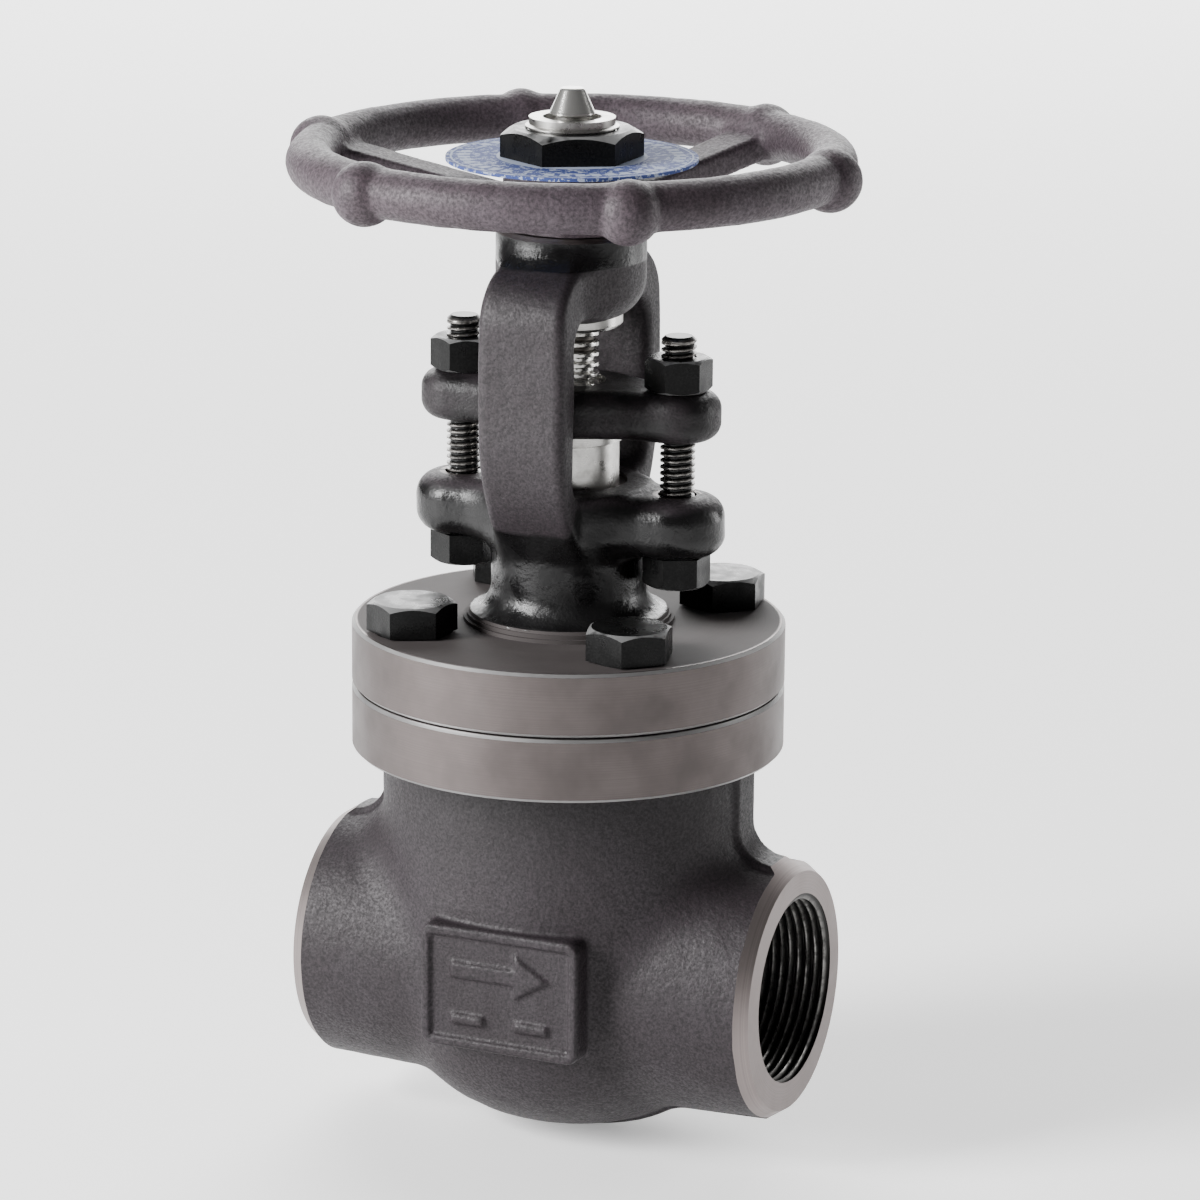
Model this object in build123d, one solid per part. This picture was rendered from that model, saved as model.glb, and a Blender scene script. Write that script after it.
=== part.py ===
"""Globe valve, 1 1/2 in. threaded, outside screw and yoke, bolted bonnet.

Millimetres. The origin is where the stem's axis meets the pipe's axis, +X runs
along the pipe towards the outlet and +Z up the stem. The valve is drawn closed.
"""
from build123d import *
import math
import os

# ---- body forging -------------------------------------------------------
END_TO_END = 122.0
HALF = END_TO_END / 2
HUB_ROOT_R = 33.4
HUB_R = 31.8
HUB_FACE_R = 29.6
HUB_CHAMFER = 3.3
PIPE_BORE_R = 24.13
PIPE_BORE_DEPTH = 24.0
PIPE_MOUTH = 1.0
BARREL_X = 47.0
BARREL_Y = 38.0
DOME_R = 48.0
DOME_Z = 7.0
DOME_EDGE = 12.0
HUB_FILLET = 10.0
LAND_FILLET = 8.0
LAND_HALF = 5.0
LAND_PROUD = 0.7
PAD_W = 42.0
PAD_LOW = -13.0
PAD_HIGH = 18.0
PAD_FACE_Y = 39.2
PAD_CORNER = 3.0
PAD_BORDER = 1.3
PAD_RELIEF = 0.5
PAD_ROOT = 8.0
ARROW_HALF = 13.0
ARROW_NECK_X = 4.0
ARROW_HEAD_HALF = 5.5
ARROW_SHAFT_HALF = 2.0
ARROW_LIFT = 4.5
BAR_W = 9.0
BAR_H = 2.2
BAR_X = 8.5
BAR_DROP = 8.0

# ---- flanged joint between the body and the bonnet ----------------------
FLANGE_R = 53.0
FLANGE_EDGE = 0.8
BODY_FLANGE_LOW = 55.8
BODY_FLANGE_TOP = 71.4
BONNET_FLANGE_LOW = 71.8
BONNET_FLANGE_TOP = 87.4
CHAMBER_R = 27.0
RECESS_R = 32.4
RECESS_FLOOR = 65.2
GASKET_TOP = 68.4
GASKET_RADII = (27.8, 28.8, 31.2, 32.2)
GASKET_CRUSH = 0.4
SPIGOT_GAP = 0.15
SPIGOT_LOW = 54.0
BOLT_CIRCLE_R = 40.5
BOLT_R = 6.35
BOLT_HOLE_R = 6.8
BOLT_TAP_R = 6.4
BOLT_TAP_FLOOR = 55.0
BOLT_END = 57.0
BOLT_FLATS = 19.05
BOLT_HEAD = 7.9
BOLT_WASHER_FACE = 0.4
BOLT_TURNS = (10.0, 28.0, -3.0, 14.0)

# ---- flow passages, seat and disc ---------------------------------------
PORT_R = 13.0
PASSAGE_R = 12.5
PASSAGE_Z = 9.0
PASSAGE_ANGLE = 25.0
PASSAGE_RUN = 36.0
PASSAGE_INSET = 4.0
LOWER_R = 15.0
LOWER_FLOOR = -27.0
BRIDGE_TOP = 5.0
SEAT_TOP = 8.0
SEAT_R = 18.0
SEAT_FACE_R = 15.6
SEAT_BEVEL = 1.6
SEAT_LIP = 0.6
GUIDE_SLOT_W = 6.4
GUIDE_SLOT_R = 30.2
GUIDE_SLOT_LOW = 10.0
DISC_R = 18.5
DISC_TOP = 24.0
DISC_PLUG_R = 12.4
DISC_PLUG = 3.0
DISC_EDGE = 0.8
DISC_NUT_GAP = 0.05
GUIDE_LUG_W = 5.8
GUIDE_LUG_R = 29.8
GUIDE_LUG_LOW = 12.0
DISC_POCKET = 12.4
DISC_POCKET_LOW = 12.0
DISC_NUT_R = 12.4
DISC_NUT_LOW = 18.0
DISC_NUT_TOP = 27.0
DISC_NUT_FLATS = 20.0

# ---- stem ---------------------------------------------------------------
STEM_R = 7.0
STEM_ROOT_R = 5.75
STEM_PITCH = 2.54
LIFT_TURNS = 5
LIFT = STEM_PITCH * LIFT_TURNS
STEM_HEAD = 12.0
STEM_HEAD_TOP = 17.6
STEM_HEAD_GAP = 0.2
STEM_NECK_R = 5.8
STEM_NECK_TOP = 28.0
BACKSEAT_R = 9.6
BACKSEAT_LOW = 31.0
THREAD_LOW = 142.5
THREAD_TOP = 208.0
TIP_NECK_R = 4.1
TIP_RING_R = 5.4
TIP_RING_LOW = 211.0
TIP_RING_TOP = 212.4
TIP_RING_BEVEL = 0.6
TIP_TOP = 218.0
TIP_R = 2.9

# ---- bonnet, stuffing box and yoke --------------------------------------
BUSH_R = 13.0
BUSH_LOW = 47.0
BUSH_FLANGE_R = 17.0
BUSH_TOP = 66.0
BUSH_BEVEL = 1.0
BUSH_MOUTH_R = 10.2
BACKSEAT_GAP = 0.3
STEM_BORE_R = 7.6
BOX_R = 12.1
BOX_FLOOR = 90.0
BOSS_R = 28.0
BOSS_TOP = 90.0
NECK_R = 20.0
NECK_FLARE_R = 26.0
NECK_FLARE_TOP = 98.0
NECK_FLARE_SAG = 1.6
EAR_LOW = 106.5
EAR_TOP = 121.3
EAR_X = 28.4
EAR_R = 12.6
EAR_ROUND = 5.0
EAR_WAIST = 6.0
EAR_HOLE_R = 4.7
YOKE_W = 23.0
YOKE_OUT = 30.0
YOKE_IN = 21.5
YOKE_FOOT_Y = 15.0
YOKE_FOOT_LOW = 104.5
YOKE_BEND_LOW = 119.0
YOKE_BEND_TOP = 167.0
YOKE_SHOULDER_TOP = 177.5
YOKE_BEND_R = 13.0
YOKE_EDGE = 2.4
YOKE_HUB_R = 18.3
YOKE_HUB_LOW = 163.4
YOKE_HUB_FOOT_R = 13.9
YOKE_HUB_BULGE = 176.0
THRUST_FACE = 166.2
YOKE_HUB_TOP = 184.4
WINDOW_ROUND = 7.0
WINDOW_TOP = 165.2
YOKE_HUB_SWELL = 1.0
YOKE_HUB_EDGE = 1.0
COLLAR_GAP = 0.5
PRESS_GAP = 0.03
SLEEVE_GAP = 0.08

# ---- packing and gland --------------------------------------------------
PACKING_COUNT = 5
PACKING_H = 5.2
PACKING_GAP = 0.02
GLAND_R = 12.0
GLAND_BORE_R = 7.3
GLAND_COLLAR_R = 13.2
GLAND_COLLAR = 2.6
GLAND_EDGE = 0.5
GLAND_FLANGE_LOW = 135.0
GLAND_FLANGE_TOP = 147.0
GLAND_FLANGE_END_R = 11.1
GLAND_FLANGE_MID_R = 16.0
GLAND_FLANGE_ROUND = 4.0
GLAND_FLANGE_BORE_R = 8.6
GLAND_BOLT_R = 4.25
GLAND_BOLT_ROOT_R = 3.55
GLAND_BOLT_PITCH = 1.6
GLAND_BOLT_TOP = 160.3
GLAND_THREAD_LOW = 126.0
GLAND_FLATS = 14.3
GLAND_HEAD = 7.6
GLAND_NUT = 8.2

# ---- sleeve, handwheel and what is on it --------------------------------
SLEEVE_R = 11.3
SLEEVE_COLLAR_R = 12.6
SLEEVE_COLLAR_LOW = 160.6
SLEEVE_COLLAR_EDGE = 0.8
WASHER_LOW = 164.8
WASHER_TOP = 166.0
SLEEVE_TOP = 211.0
SLEEVE_BORE_R = 7.06
SLEEVE_FLATS = 19.6
SLEEVE_PITCH = 1.5
SLEEVE_ROOT_R = 10.4
WHEEL_HUB_R = 16.5
WHEEL_HUB_LOW = 184.7
WHEEL_HUB_TOP = 200.6
WHEEL_HUB_EDGE = 0.8
RIM_R = 62.8
RIM_TUBE_R = 5.7
RIM_Z = 200.3
KNOB_R = 7.7
KNOB_AT_R = 64.3
KNOB_COUNT = 6
KNOB_PHASE = 5.8
SPOKE_COUNT = 3
SPOKE_PHASE = 65.8
SPOKE_W = 12.0
SPOKE_T = 6.5
SPOKE_HUB_Z = 191.6
SPOKE_RIM_Z = 202.0
SPOKE_EDGE = 1.8
SPOKE_START_R = 13.0
PLATE_R = 30.3
PLATE_T = 0.8
WHEEL_NUT_FLATS = 30.0
WHEEL_NUT_H = 7.0

# ---- shared by several pieces -------------------------------------------
BOLT_ANGLES = (45, 135, 225, 315)
HEX_FACE = 0.475
HEX_BEVEL = math.tan(math.radians(30))
THREAD_FORM = (0.15, 0.40, 0.60, 0.85)
THREAD_LEAD = 0.5
SLIDE_GAP = 0.05
SLIP = 0.3
OVERCUT = 1.0
TOUCH = 0.01
UP = (Align.CENTER, Align.CENTER, Align.MIN)
FACING_FRONT = Plane((0, 0, 0), x_dir=(1, 0, 0), z_dir=(0, -1, 0))


# ---- shared shapes ------------------------------------------------------
def cyl(radius, low, high):
    """Upright cylinder about the stem's axis."""
    return Pos(0, 0, low) * Cylinder(radius, high - low, align=UP)


def bore(radius, low, high):
    """Cylinder that cuts past both of its ends."""
    return cyl(radius, low - OVERCUT, high + OVERCUT)


def at_bolts(shape):
    """Four copies of a shape about the stem's axis, one to a bonnet bolt."""
    placed = [Rot(0, 0, angle) * Pos(BOLT_CIRCLE_R, 0, 0) * shape for angle in BOLT_ANGLES]
    return Compound(children=placed)


def both_ears(shape):
    return [Pos(side * EAR_X, 0, 0) * shape for side in (-1, 1)]


def ring(outer, inner, low, high):
    return cyl(outer, low, high) - bore(inner, low, high)


def turned(points):
    """Solid turned about the stem's axis from (radius, z) corners."""
    outline = Polyline(*[(r, 0, z) for r, z in points], close=True)
    return revolve(make_face(outline), Axis.Z)


def hexagon(flats, low, high):
    """Hexagonal prism with two flats facing +X and -X."""
    sketch = Rot(0, 0, 30) * RegularPolygon(flats / math.sqrt(3), 6)
    return Pos(0, 0, low) * extrude(sketch, high - low)


def chamfered_hexagon(flats, low, high, top=True, bottom=False):
    """Bolt head or nut with its corners turned off at one or both ends."""
    corner = flats / math.sqrt(3)
    face = flats * HEX_FACE
    rise = (corner - face) * HEX_BEVEL
    points = [(0, low)]
    points += [(face, low), (corner, low + rise)] if bottom else [(corner, low)]
    points += [(corner, high - rise), (face, high)] if top else [(corner, high)]
    points += [(0, high)]
    return hexagon(flats, low, high) & turned(points)


def thread_points(radius, root, pitch, low, high):
    """Corners of a thread drawn as parallel rings, one ring to a turn."""
    points = [(root, low)]
    for i in range(int((high - low) / pitch)):
        radii = (root, radius, radius, root)
        points += [(r, low + (i + turn) * pitch) for r, turn in zip(radii, THREAD_FORM)]
    return points + [(root, high)]


def eared_outline(end_x, end_r, mid_r):
    """Outline of a two-bolt flange: two round ends and a round middle."""
    shape = SlotCenterToCenter(2 * end_x, 2 * end_r) + Circle(mid_r)
    waist = [v for v in shape.vertices() if abs(abs(v.Y) - end_r) < TOUCH and abs(v.X) < end_x - 1]
    return fillet(waist, EAR_WAIST)


def write(name, shape):
    """Writes one sub-part, as a single solid or as a group of solids."""
    shapes = shape if isinstance(shape, list) else [shape]
    solids = [solid for item in shapes for solid in item.solids()]
    whole = solids[0] if len(solids) == 1 else Compound(children=solids)
    export_step(whole, f"parts/{name}.step")


# ---- body ---------------------------------------------------------------
def hub_radius(x):
    """Radius of a hub's drafted outside at a distance x from the stem's axis."""
    return HUB_ROOT_R + (HUB_R - HUB_ROOT_R) * abs(x) / (HALF - HUB_CHAMFER)


def hub_blank():
    """Both hubs, turned about the pipe's axis."""
    side = [(0, 0), (0, HUB_ROOT_R), (HALF - HUB_CHAMFER, HUB_R), (HALF, HUB_FACE_R), (HALF, 0)]
    right = revolve(make_face(Polyline(*[(x, 0, r) for x, r in side], close=True)), Axis.X)
    return right + mirror(right, Plane.YZ)


def from_dome_centre(point):
    return math.hypot(point.X, point.Y, point.Z - DOME_Z)


def barrel():
    """Upright barrel of oval section, rounded off below into a dome."""
    bottom = DOME_Z - DOME_R
    column = extrude(Ellipse(BARREL_X, BARREL_Y), BODY_FLANGE_LOW - bottom)
    dome = Pos(0, 0, DOME_Z) * Sphere(DOME_R) + cyl(DOME_R, DOME_Z, BODY_FLANGE_LOW)
    shape = Pos(0, 0, bottom) * column & dome
    rim = [
        e for e in shape.edges()
        if e.center().Z < BODY_FLANGE_LOW - 1 and e.geom_type != GeomType.LINE
        and all(abs(from_dome_centre(e @ t) - DOME_R) < TOUCH for t in (0.2, 0.8))
    ]
    return fillet(rim, DOME_EDGE)


def on_hub(point):
    radius = math.hypot(point.Y, point.Z)
    return abs(point.X) < HALF - HUB_CHAMFER - 1 and abs(radius - hub_radius(point.X)) < 0.05


def body_blank():
    """Forged outside: the barrel blended to the two hubs."""
    blank = barrel() + hub_blank()
    seams = [
        e for e in blank.edges()
        if e.geom_type != GeomType.LINE and abs(e.center().X) > 5
        and all(on_hub(e @ t) for t in (0.2, 0.5, 0.8))
    ]
    return fillet(seams, HUB_FILLET)


def parting_land():
    """Trimmed flash: a flat band round the outline in the run's plane."""
    reach = BARREL_X + LAND_PROUD
    root = HUB_ROOT_R + LAND_PROUD
    tip = HUB_R + LAND_PROUD
    end = HALF - HUB_CHAMFER
    bowl = Pos(0, DOME_Z) * Circle(DOME_R + LAND_PROUD) & Rectangle(2 * reach, 2 * BODY_FLANGE_LOW)
    walls_h = BODY_FLANGE_LOW - DOME_Z
    walls = Pos(0, DOME_Z + walls_h / 2) * Rectangle(2 * reach, walls_h)
    run = Polyline((-end, tip), (0, root), (end, tip), (end, -tip), (0, -root), (-end, -tip), close=True)
    outline = bowl + walls + make_face(run)
    inner = [
        v for v in outline.vertices()
        if 20 < abs(v.X) < end - 2 and abs(abs(v.Y) - hub_radius(v.X) - LAND_PROUD) < 0.5
    ]
    return extrude(FACING_FRONT * fillet(inner, LAND_FILLET), LAND_HALF, both=True)


def arrow():
    """Outline of an arrow that points along +X."""
    upper = [
        (-ARROW_HALF, ARROW_SHAFT_HALF), (ARROW_NECK_X, ARROW_SHAFT_HALF),
        (ARROW_NECK_X, ARROW_HEAD_HALF), (ARROW_HALF, 0),
    ]
    lower = [(x, -y) for x, y in reversed(upper[:-1])]
    return make_face(Polyline(*upper, *lower, close=True))


def pad():
    """Raised panel on the front of the barrel: a border, a flow arrow and two bars."""
    high = PAD_HIGH - PAD_LOW
    base = RectangleRounded(PAD_W, high, PAD_CORNER)
    inner_corner = PAD_CORNER - PAD_BORDER
    inside = RectangleRounded(PAD_W - 2 * PAD_BORDER, high - 2 * PAD_BORDER, inner_corner)
    marks = (base - inside) + Pos(0, ARROW_LIFT) * arrow()
    for side in (-1, 1):
        marks += Pos(side * BAR_X, -BAR_DROP) * Rectangle(BAR_W, BAR_H)
    middle = (0, -PAD_FACE_Y, (PAD_LOW + PAD_HIGH) / 2)
    face = Plane(middle, x_dir=(1, 0, 0), z_dir=(0, -1, 0))
    return extrude(face * base, -PAD_ROOT) + extrude(face * marks, PAD_RELIEF)


def socket():
    """Plain bore for a pipe end, opening along +X, with a bevelled mouth."""
    wall = Cylinder(PIPE_BORE_R, PIPE_BORE_DEPTH, align=UP)
    mouth = Cone(PIPE_BORE_R + PIPE_MOUTH, PIPE_BORE_R, PIPE_MOUTH, align=UP)
    return Pos(HALF, 0, 0) * Rot(0, -90, 0) * (wall + mouth)


def passage():
    """Slanted passage down from the inlet's socket to the chamber under the seat."""
    rise = PASSAGE_INSET * math.tan(math.radians(PASSAGE_ANGLE))
    start = Pos(-HALF + PIPE_BORE_DEPTH - PASSAGE_INSET, 0, rise - PASSAGE_Z)
    return start * Rot(0, 90 + PASSAGE_ANGLE, 0) * Cylinder(PASSAGE_R, PASSAGE_RUN, align=UP)


def chambers():
    """Room under the seat, seat pocket, room over the seat, and gasket recess."""
    lower = cyl(LOWER_R, LOWER_FLOOR, OVERCUT)
    pocket = cyl(SEAT_R, 0, BRIDGE_TOP + OVERCUT)
    upper = cyl(CHAMBER_R, BRIDGE_TOP, BODY_FLANGE_TOP + OVERCUT)
    recess = cyl(RECESS_R, RECESS_FLOOR, BODY_FLANGE_TOP + OVERCUT)
    return lower + pocket + upper + recess


def guide_slots():
    """Two upright slots in the chamber's wall that keep the disc from turning."""
    high = RECESS_FLOOR - GUIDE_SLOT_LOW + OVERCUT
    return Pos(0, 0, GUIDE_SLOT_LOW) * Box(GUIDE_SLOT_W, 2 * GUIDE_SLOT_R, high, align=UP)


def body():
    flange = cyl(FLANGE_R, BODY_FLANGE_LOW, BODY_FLANGE_TOP)
    flange = chamfer(flange.edges().filter_by(GeomType.CIRCLE), FLANGE_EDGE)
    shape = body_blank() + parting_land() + pad() + flange
    for turn in (0, 180):
        shape -= Rot(0, 0, turn) * socket()
    for turn in (0, 180):
        shape -= Rot(0, turn, 0) * passage()
    shape -= chambers()
    shape -= guide_slots()
    return shape - at_bolts(cyl(BOLT_TAP_R, BOLT_TAP_FLOOR, BODY_FLANGE_TOP + OVERCUT))


def seat_ring():
    return turned([
        (PORT_R, 0), (SEAT_R, 0), (SEAT_R, SEAT_TOP - SEAT_BEVEL), (SEAT_FACE_R, SEAT_TOP),
        (PORT_R + SEAT_LIP, SEAT_TOP), (PORT_R, SEAT_TOP - SEAT_LIP),
    ])


def gasket(layer):
    """One of three rings: the wound middle carries the load, the outer two guide it."""
    inset = 0.0 if layer == 1 else GASKET_CRUSH
    inner, outer = GASKET_RADII[layer:layer + 2]
    return ring(outer, inner, RECESS_FLOOR + inset, GASKET_TOP - inset)


# ---- disc and stem ------------------------------------------------------
def disc():
    shape = cyl(DISC_R, SEAT_TOP, DISC_TOP)
    shape = chamfer(shape.edges().filter_by(GeomType.CIRCLE), DISC_EDGE)
    shape += cyl(DISC_PLUG_R, SEAT_TOP - DISC_PLUG, SEAT_TOP + OVERCUT)
    lug_h = DISC_TOP - GUIDE_LUG_LOW
    shape += Pos(0, 0, GUIDE_LUG_LOW) * Box(GUIDE_LUG_W, 2 * GUIDE_LUG_R, lug_h, align=UP)
    pocket_h = DISC_TOP - DISC_POCKET_LOW + OVERCUT
    shape -= Pos(0, 0, DISC_POCKET_LOW) * Box(DISC_POCKET, DISC_POCKET, pocket_h, align=UP)
    return shape - cyl(DISC_NUT_R + DISC_NUT_GAP, DISC_NUT_LOW, DISC_TOP + OVERCUT)


def disc_nut():
    shape = cyl(DISC_NUT_R, DISC_NUT_LOW, DISC_TOP)
    shape += chamfered_hexagon(DISC_NUT_FLATS, DISC_TOP, DISC_NUT_TOP)
    return shape - bore(STEM_NECK_R + SLIP, DISC_NUT_LOW, DISC_NUT_TOP)


def stem():
    """Rising stem, drawn at its lowest: square head, backseat cone, thread and tip."""
    cone_low = BUSH_LOW + BUSH_MOUTH_R - BACKSEAT_R - BACKSEAT_GAP - LIFT
    root = STEM_HEAD_TOP - OVERCUT
    points = [
        (0, root), (STEM_NECK_R, root), (STEM_NECK_R, STEM_NECK_TOP),
        (STEM_R, STEM_NECK_TOP + STEM_R - STEM_NECK_R), (STEM_R, BACKSEAT_LOW), (BACKSEAT_R, BACKSEAT_LOW),
        (BACKSEAT_R, cone_low), (STEM_R, cone_low + BACKSEAT_R - STEM_R), (STEM_R, THREAD_LOW),
    ]
    points += thread_points(STEM_R, STEM_ROOT_R, STEM_PITCH, THREAD_LOW + 1, THREAD_TOP)
    points += [
        (TIP_NECK_R, THREAD_TOP), (TIP_NECK_R, TIP_RING_LOW), (TIP_RING_R, TIP_RING_LOW + TIP_RING_BEVEL),
        (TIP_RING_R, TIP_RING_TOP), (TIP_R, TIP_TOP), (0, TIP_TOP),
    ]
    head_low = DISC_POCKET_LOW + STEM_HEAD_GAP
    head = Box(STEM_HEAD, STEM_HEAD, STEM_HEAD_TOP - head_low, align=UP)
    return turned(points) + Pos(0, 0, head_low) * head


# ---- bonnet and yoke ----------------------------------------------------
def bonnet_turned():
    """Flange, spigot, boss and neck, all turned about the stem's axis."""
    spigot = CHAMBER_R - SPIGOT_GAP
    points = [
        (0, SPIGOT_LOW), (spigot - 1, SPIGOT_LOW), (spigot, SPIGOT_LOW + 1), (spigot, GASKET_TOP),
        (RECESS_R - SPIGOT_GAP, GASKET_TOP), (RECESS_R - SPIGOT_GAP, BONNET_FLANGE_LOW),
        (FLANGE_R - FLANGE_EDGE, BONNET_FLANGE_LOW), (FLANGE_R, BONNET_FLANGE_LOW + FLANGE_EDGE),
        (FLANGE_R, BONNET_FLANGE_TOP - FLANGE_EDGE), (FLANGE_R - FLANGE_EDGE, BONNET_FLANGE_TOP),
        (BOSS_R, BONNET_FLANGE_TOP), (BOSS_R, BOSS_TOP), (NECK_FLARE_R, BOSS_TOP),
    ]
    low = Polyline(*[(r, 0, z) for r, z in points])
    middle = (NECK_R + NECK_FLARE_SAG, 0, BOSS_TOP + 2 * NECK_FLARE_SAG)
    flare = ThreePointArc((NECK_FLARE_R, 0, BOSS_TOP), middle, (NECK_R, 0, NECK_FLARE_TOP))
    high = Polyline((NECK_R, 0, NECK_FLARE_TOP), (NECK_R, 0, EAR_TOP), (0, 0, EAR_TOP), (0, 0, SPIGOT_LOW))
    return revolve(make_face(low + flare + high), Axis.Z)


def yoke_frame():
    """Two flat arms with a window between them, one in front and one behind."""
    half = [
        (YOKE_FOOT_Y, YOKE_FOOT_LOW), (YOKE_OUT, YOKE_BEND_LOW), (YOKE_OUT, YOKE_BEND_TOP),
        (YOKE_HUB_R - 2, YOKE_SHOULDER_TOP),
    ]
    outline = make_face(Polyline(*half, *[(-y, z) for y, z in reversed(half)], close=True))
    outline = fillet([v for v in outline.vertices() if abs(v.X) > YOKE_HUB_R + 1], YOKE_BEND_R)
    window_h = WINDOW_TOP - EAR_TOP
    window = RectangleRounded(2 * YOKE_IN, window_h, WINDOW_ROUND)
    outline -= Pos(0, (WINDOW_TOP + EAR_TOP) / 2) * window
    across = Plane((0, 0, 0), x_dir=(0, 1, 0), z_dir=(1, 0, 0))
    arms = extrude(across * outline, YOKE_W / 2, both=True)
    long_edges = [e for e in arms.edges() if abs(abs(e.center().X) - YOKE_W / 2) < TOUCH]
    return fillet(long_edges, YOKE_EDGE)


def yoke_hub():
    """Top hub of the yoke, drawn in below like a bowl."""
    foot = (YOKE_HUB_FOOT_R, 0, YOKE_HUB_LOW)
    middle = (YOKE_HUB_R - YOKE_HUB_SWELL, 0, (YOKE_HUB_LOW + YOKE_HUB_BULGE) / 2)
    bulge = (YOKE_HUB_R, 0, YOKE_HUB_BULGE)
    top = Polyline(
        bulge, (YOKE_HUB_R, 0, YOKE_HUB_TOP - YOKE_HUB_EDGE), (YOKE_HUB_R - YOKE_HUB_EDGE, 0, YOKE_HUB_TOP),
        (0, 0, YOKE_HUB_TOP), (0, 0, YOKE_HUB_LOW), foot,
    )
    return revolve(make_face(ThreePointArc(foot, middle, bulge) + top), Axis.Z)


def eared_plate(end_r, mid_r, low, high, rounding):
    """Plate with an ear at each side, its top and bottom edges rounded."""
    shape = Pos(0, 0, low) * extrude(eared_outline(EAR_X, end_r, mid_r), high - low)
    levels = shape.edges().group_by(Axis.Z)
    return fillet(levels[-1] + levels[0], rounding)


def bonnet():
    ears = eared_plate(EAR_R, NECK_R, EAR_LOW, EAR_TOP, EAR_ROUND)
    shape = bonnet_turned() + ears + yoke_frame() + yoke_hub()
    shape -= cyl(SLEEVE_COLLAR_R + COLLAR_GAP, YOKE_HUB_LOW - OVERCUT, THRUST_FACE)
    shape -= cyl(STEM_BORE_R, 0, BOX_FLOOR + OVERCUT)
    shape -= cyl(BUSH_R + PRESS_GAP, 0, BUSH_TOP)
    shape -= cyl(BOX_R, BOX_FLOOR, EAR_TOP + OVERCUT)
    shape -= bore(SLEEVE_R + SLEEVE_GAP, THRUST_FACE, YOKE_HUB_TOP)
    for hole in both_ears(bore(EAR_HOLE_R, EAR_LOW, EAR_TOP)):
        shape -= hole
    return shape - at_bolts(bore(BOLT_HOLE_R, BONNET_FLANGE_LOW, BONNET_FLANGE_TOP))


def backseat_bushing():
    mouth = BUSH_MOUTH_R - STEM_BORE_R
    return turned([
        (BUSH_MOUTH_R, BUSH_LOW), (BUSH_FLANGE_R, BUSH_LOW), (BUSH_FLANGE_R, SPIGOT_LOW),
        (BUSH_R, SPIGOT_LOW), (BUSH_R, BUSH_TOP - BUSH_BEVEL), (BUSH_R - BUSH_BEVEL, BUSH_TOP),
        (STEM_BORE_R, BUSH_TOP), (STEM_BORE_R, BUSH_LOW + mouth),
    ])


def bonnet_bolts():
    """Four hexagon-head cap screws, each left at its own angle by the wrench."""
    seat = BONNET_FLANGE_TOP
    bolts = []
    for angle, turn in zip(BOLT_ANGLES, BOLT_TURNS):
        bolt = chamfered_hexagon(BOLT_FLATS, seat + BOLT_WASHER_FACE, seat + BOLT_HEAD)
        bolt += cyl(BOLT_FLATS / 2 - SLIP, seat, seat + OVERCUT)
        bolt += cyl(BOLT_R, BOLT_END, seat + OVERCUT)
        bolts.append(Rot(0, 0, angle) * Pos(BOLT_CIRCLE_R, 0, 0) * Rot(0, 0, turn - angle) * bolt)
    return bolts


# ---- packing and gland --------------------------------------------------
def packing_ring(level):
    low = BOX_FLOOR + level * PACKING_H
    return ring(BOX_R - PACKING_GAP, STEM_R + SLIDE_GAP, low, low + PACKING_H)


def packing_core_rings():
    return [packing_ring(level) for level in range(1, PACKING_COUNT - 1)]


def gland():
    low = BOX_FLOOR + PACKING_COUNT * PACKING_H
    collar = GLAND_FLANGE_LOW - GLAND_COLLAR
    return turned([
        (GLAND_BORE_R, low), (GLAND_R, low), (GLAND_R, collar), (GLAND_COLLAR_R, collar + GLAND_EDGE),
        (GLAND_COLLAR_R, GLAND_FLANGE_LOW), (GLAND_BORE_R, GLAND_FLANGE_LOW),
    ])


def gland_flange():
    low, high = GLAND_FLANGE_LOW, GLAND_FLANGE_TOP
    shape = eared_plate(GLAND_FLANGE_END_R, GLAND_FLANGE_MID_R, low, high, GLAND_FLANGE_ROUND)
    shape -= bore(GLAND_FLANGE_BORE_R, low, high)
    for hole in both_ears(bore(EAR_HOLE_R, low, high)):
        shape -= hole
    return shape


def gland_bolts():
    """Two studs with their heads under the ears, threaded through the gland's flange."""
    head = chamfered_hexagon(GLAND_FLATS, EAR_LOW - GLAND_HEAD, EAR_LOW, top=False, bottom=True)
    shank = [(0, EAR_LOW - OVERCUT), (GLAND_BOLT_R, EAR_LOW - OVERCUT), (GLAND_BOLT_R, GLAND_THREAD_LOW)]
    thread_low = GLAND_THREAD_LOW + THREAD_LEAD
    shank += thread_points(GLAND_BOLT_R, GLAND_BOLT_ROOT_R, GLAND_BOLT_PITCH, thread_low, GLAND_BOLT_TOP)
    return both_ears(head + turned(shank + [(0, GLAND_BOLT_TOP)]))


def gland_nuts():
    low, high = GLAND_FLANGE_TOP, GLAND_FLANGE_TOP + GLAND_NUT
    nut = chamfered_hexagon(GLAND_FLATS, low, high, bottom=True)
    return both_ears(nut - bore(GLAND_BOLT_R + SLIDE_GAP, low, high))


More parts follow.
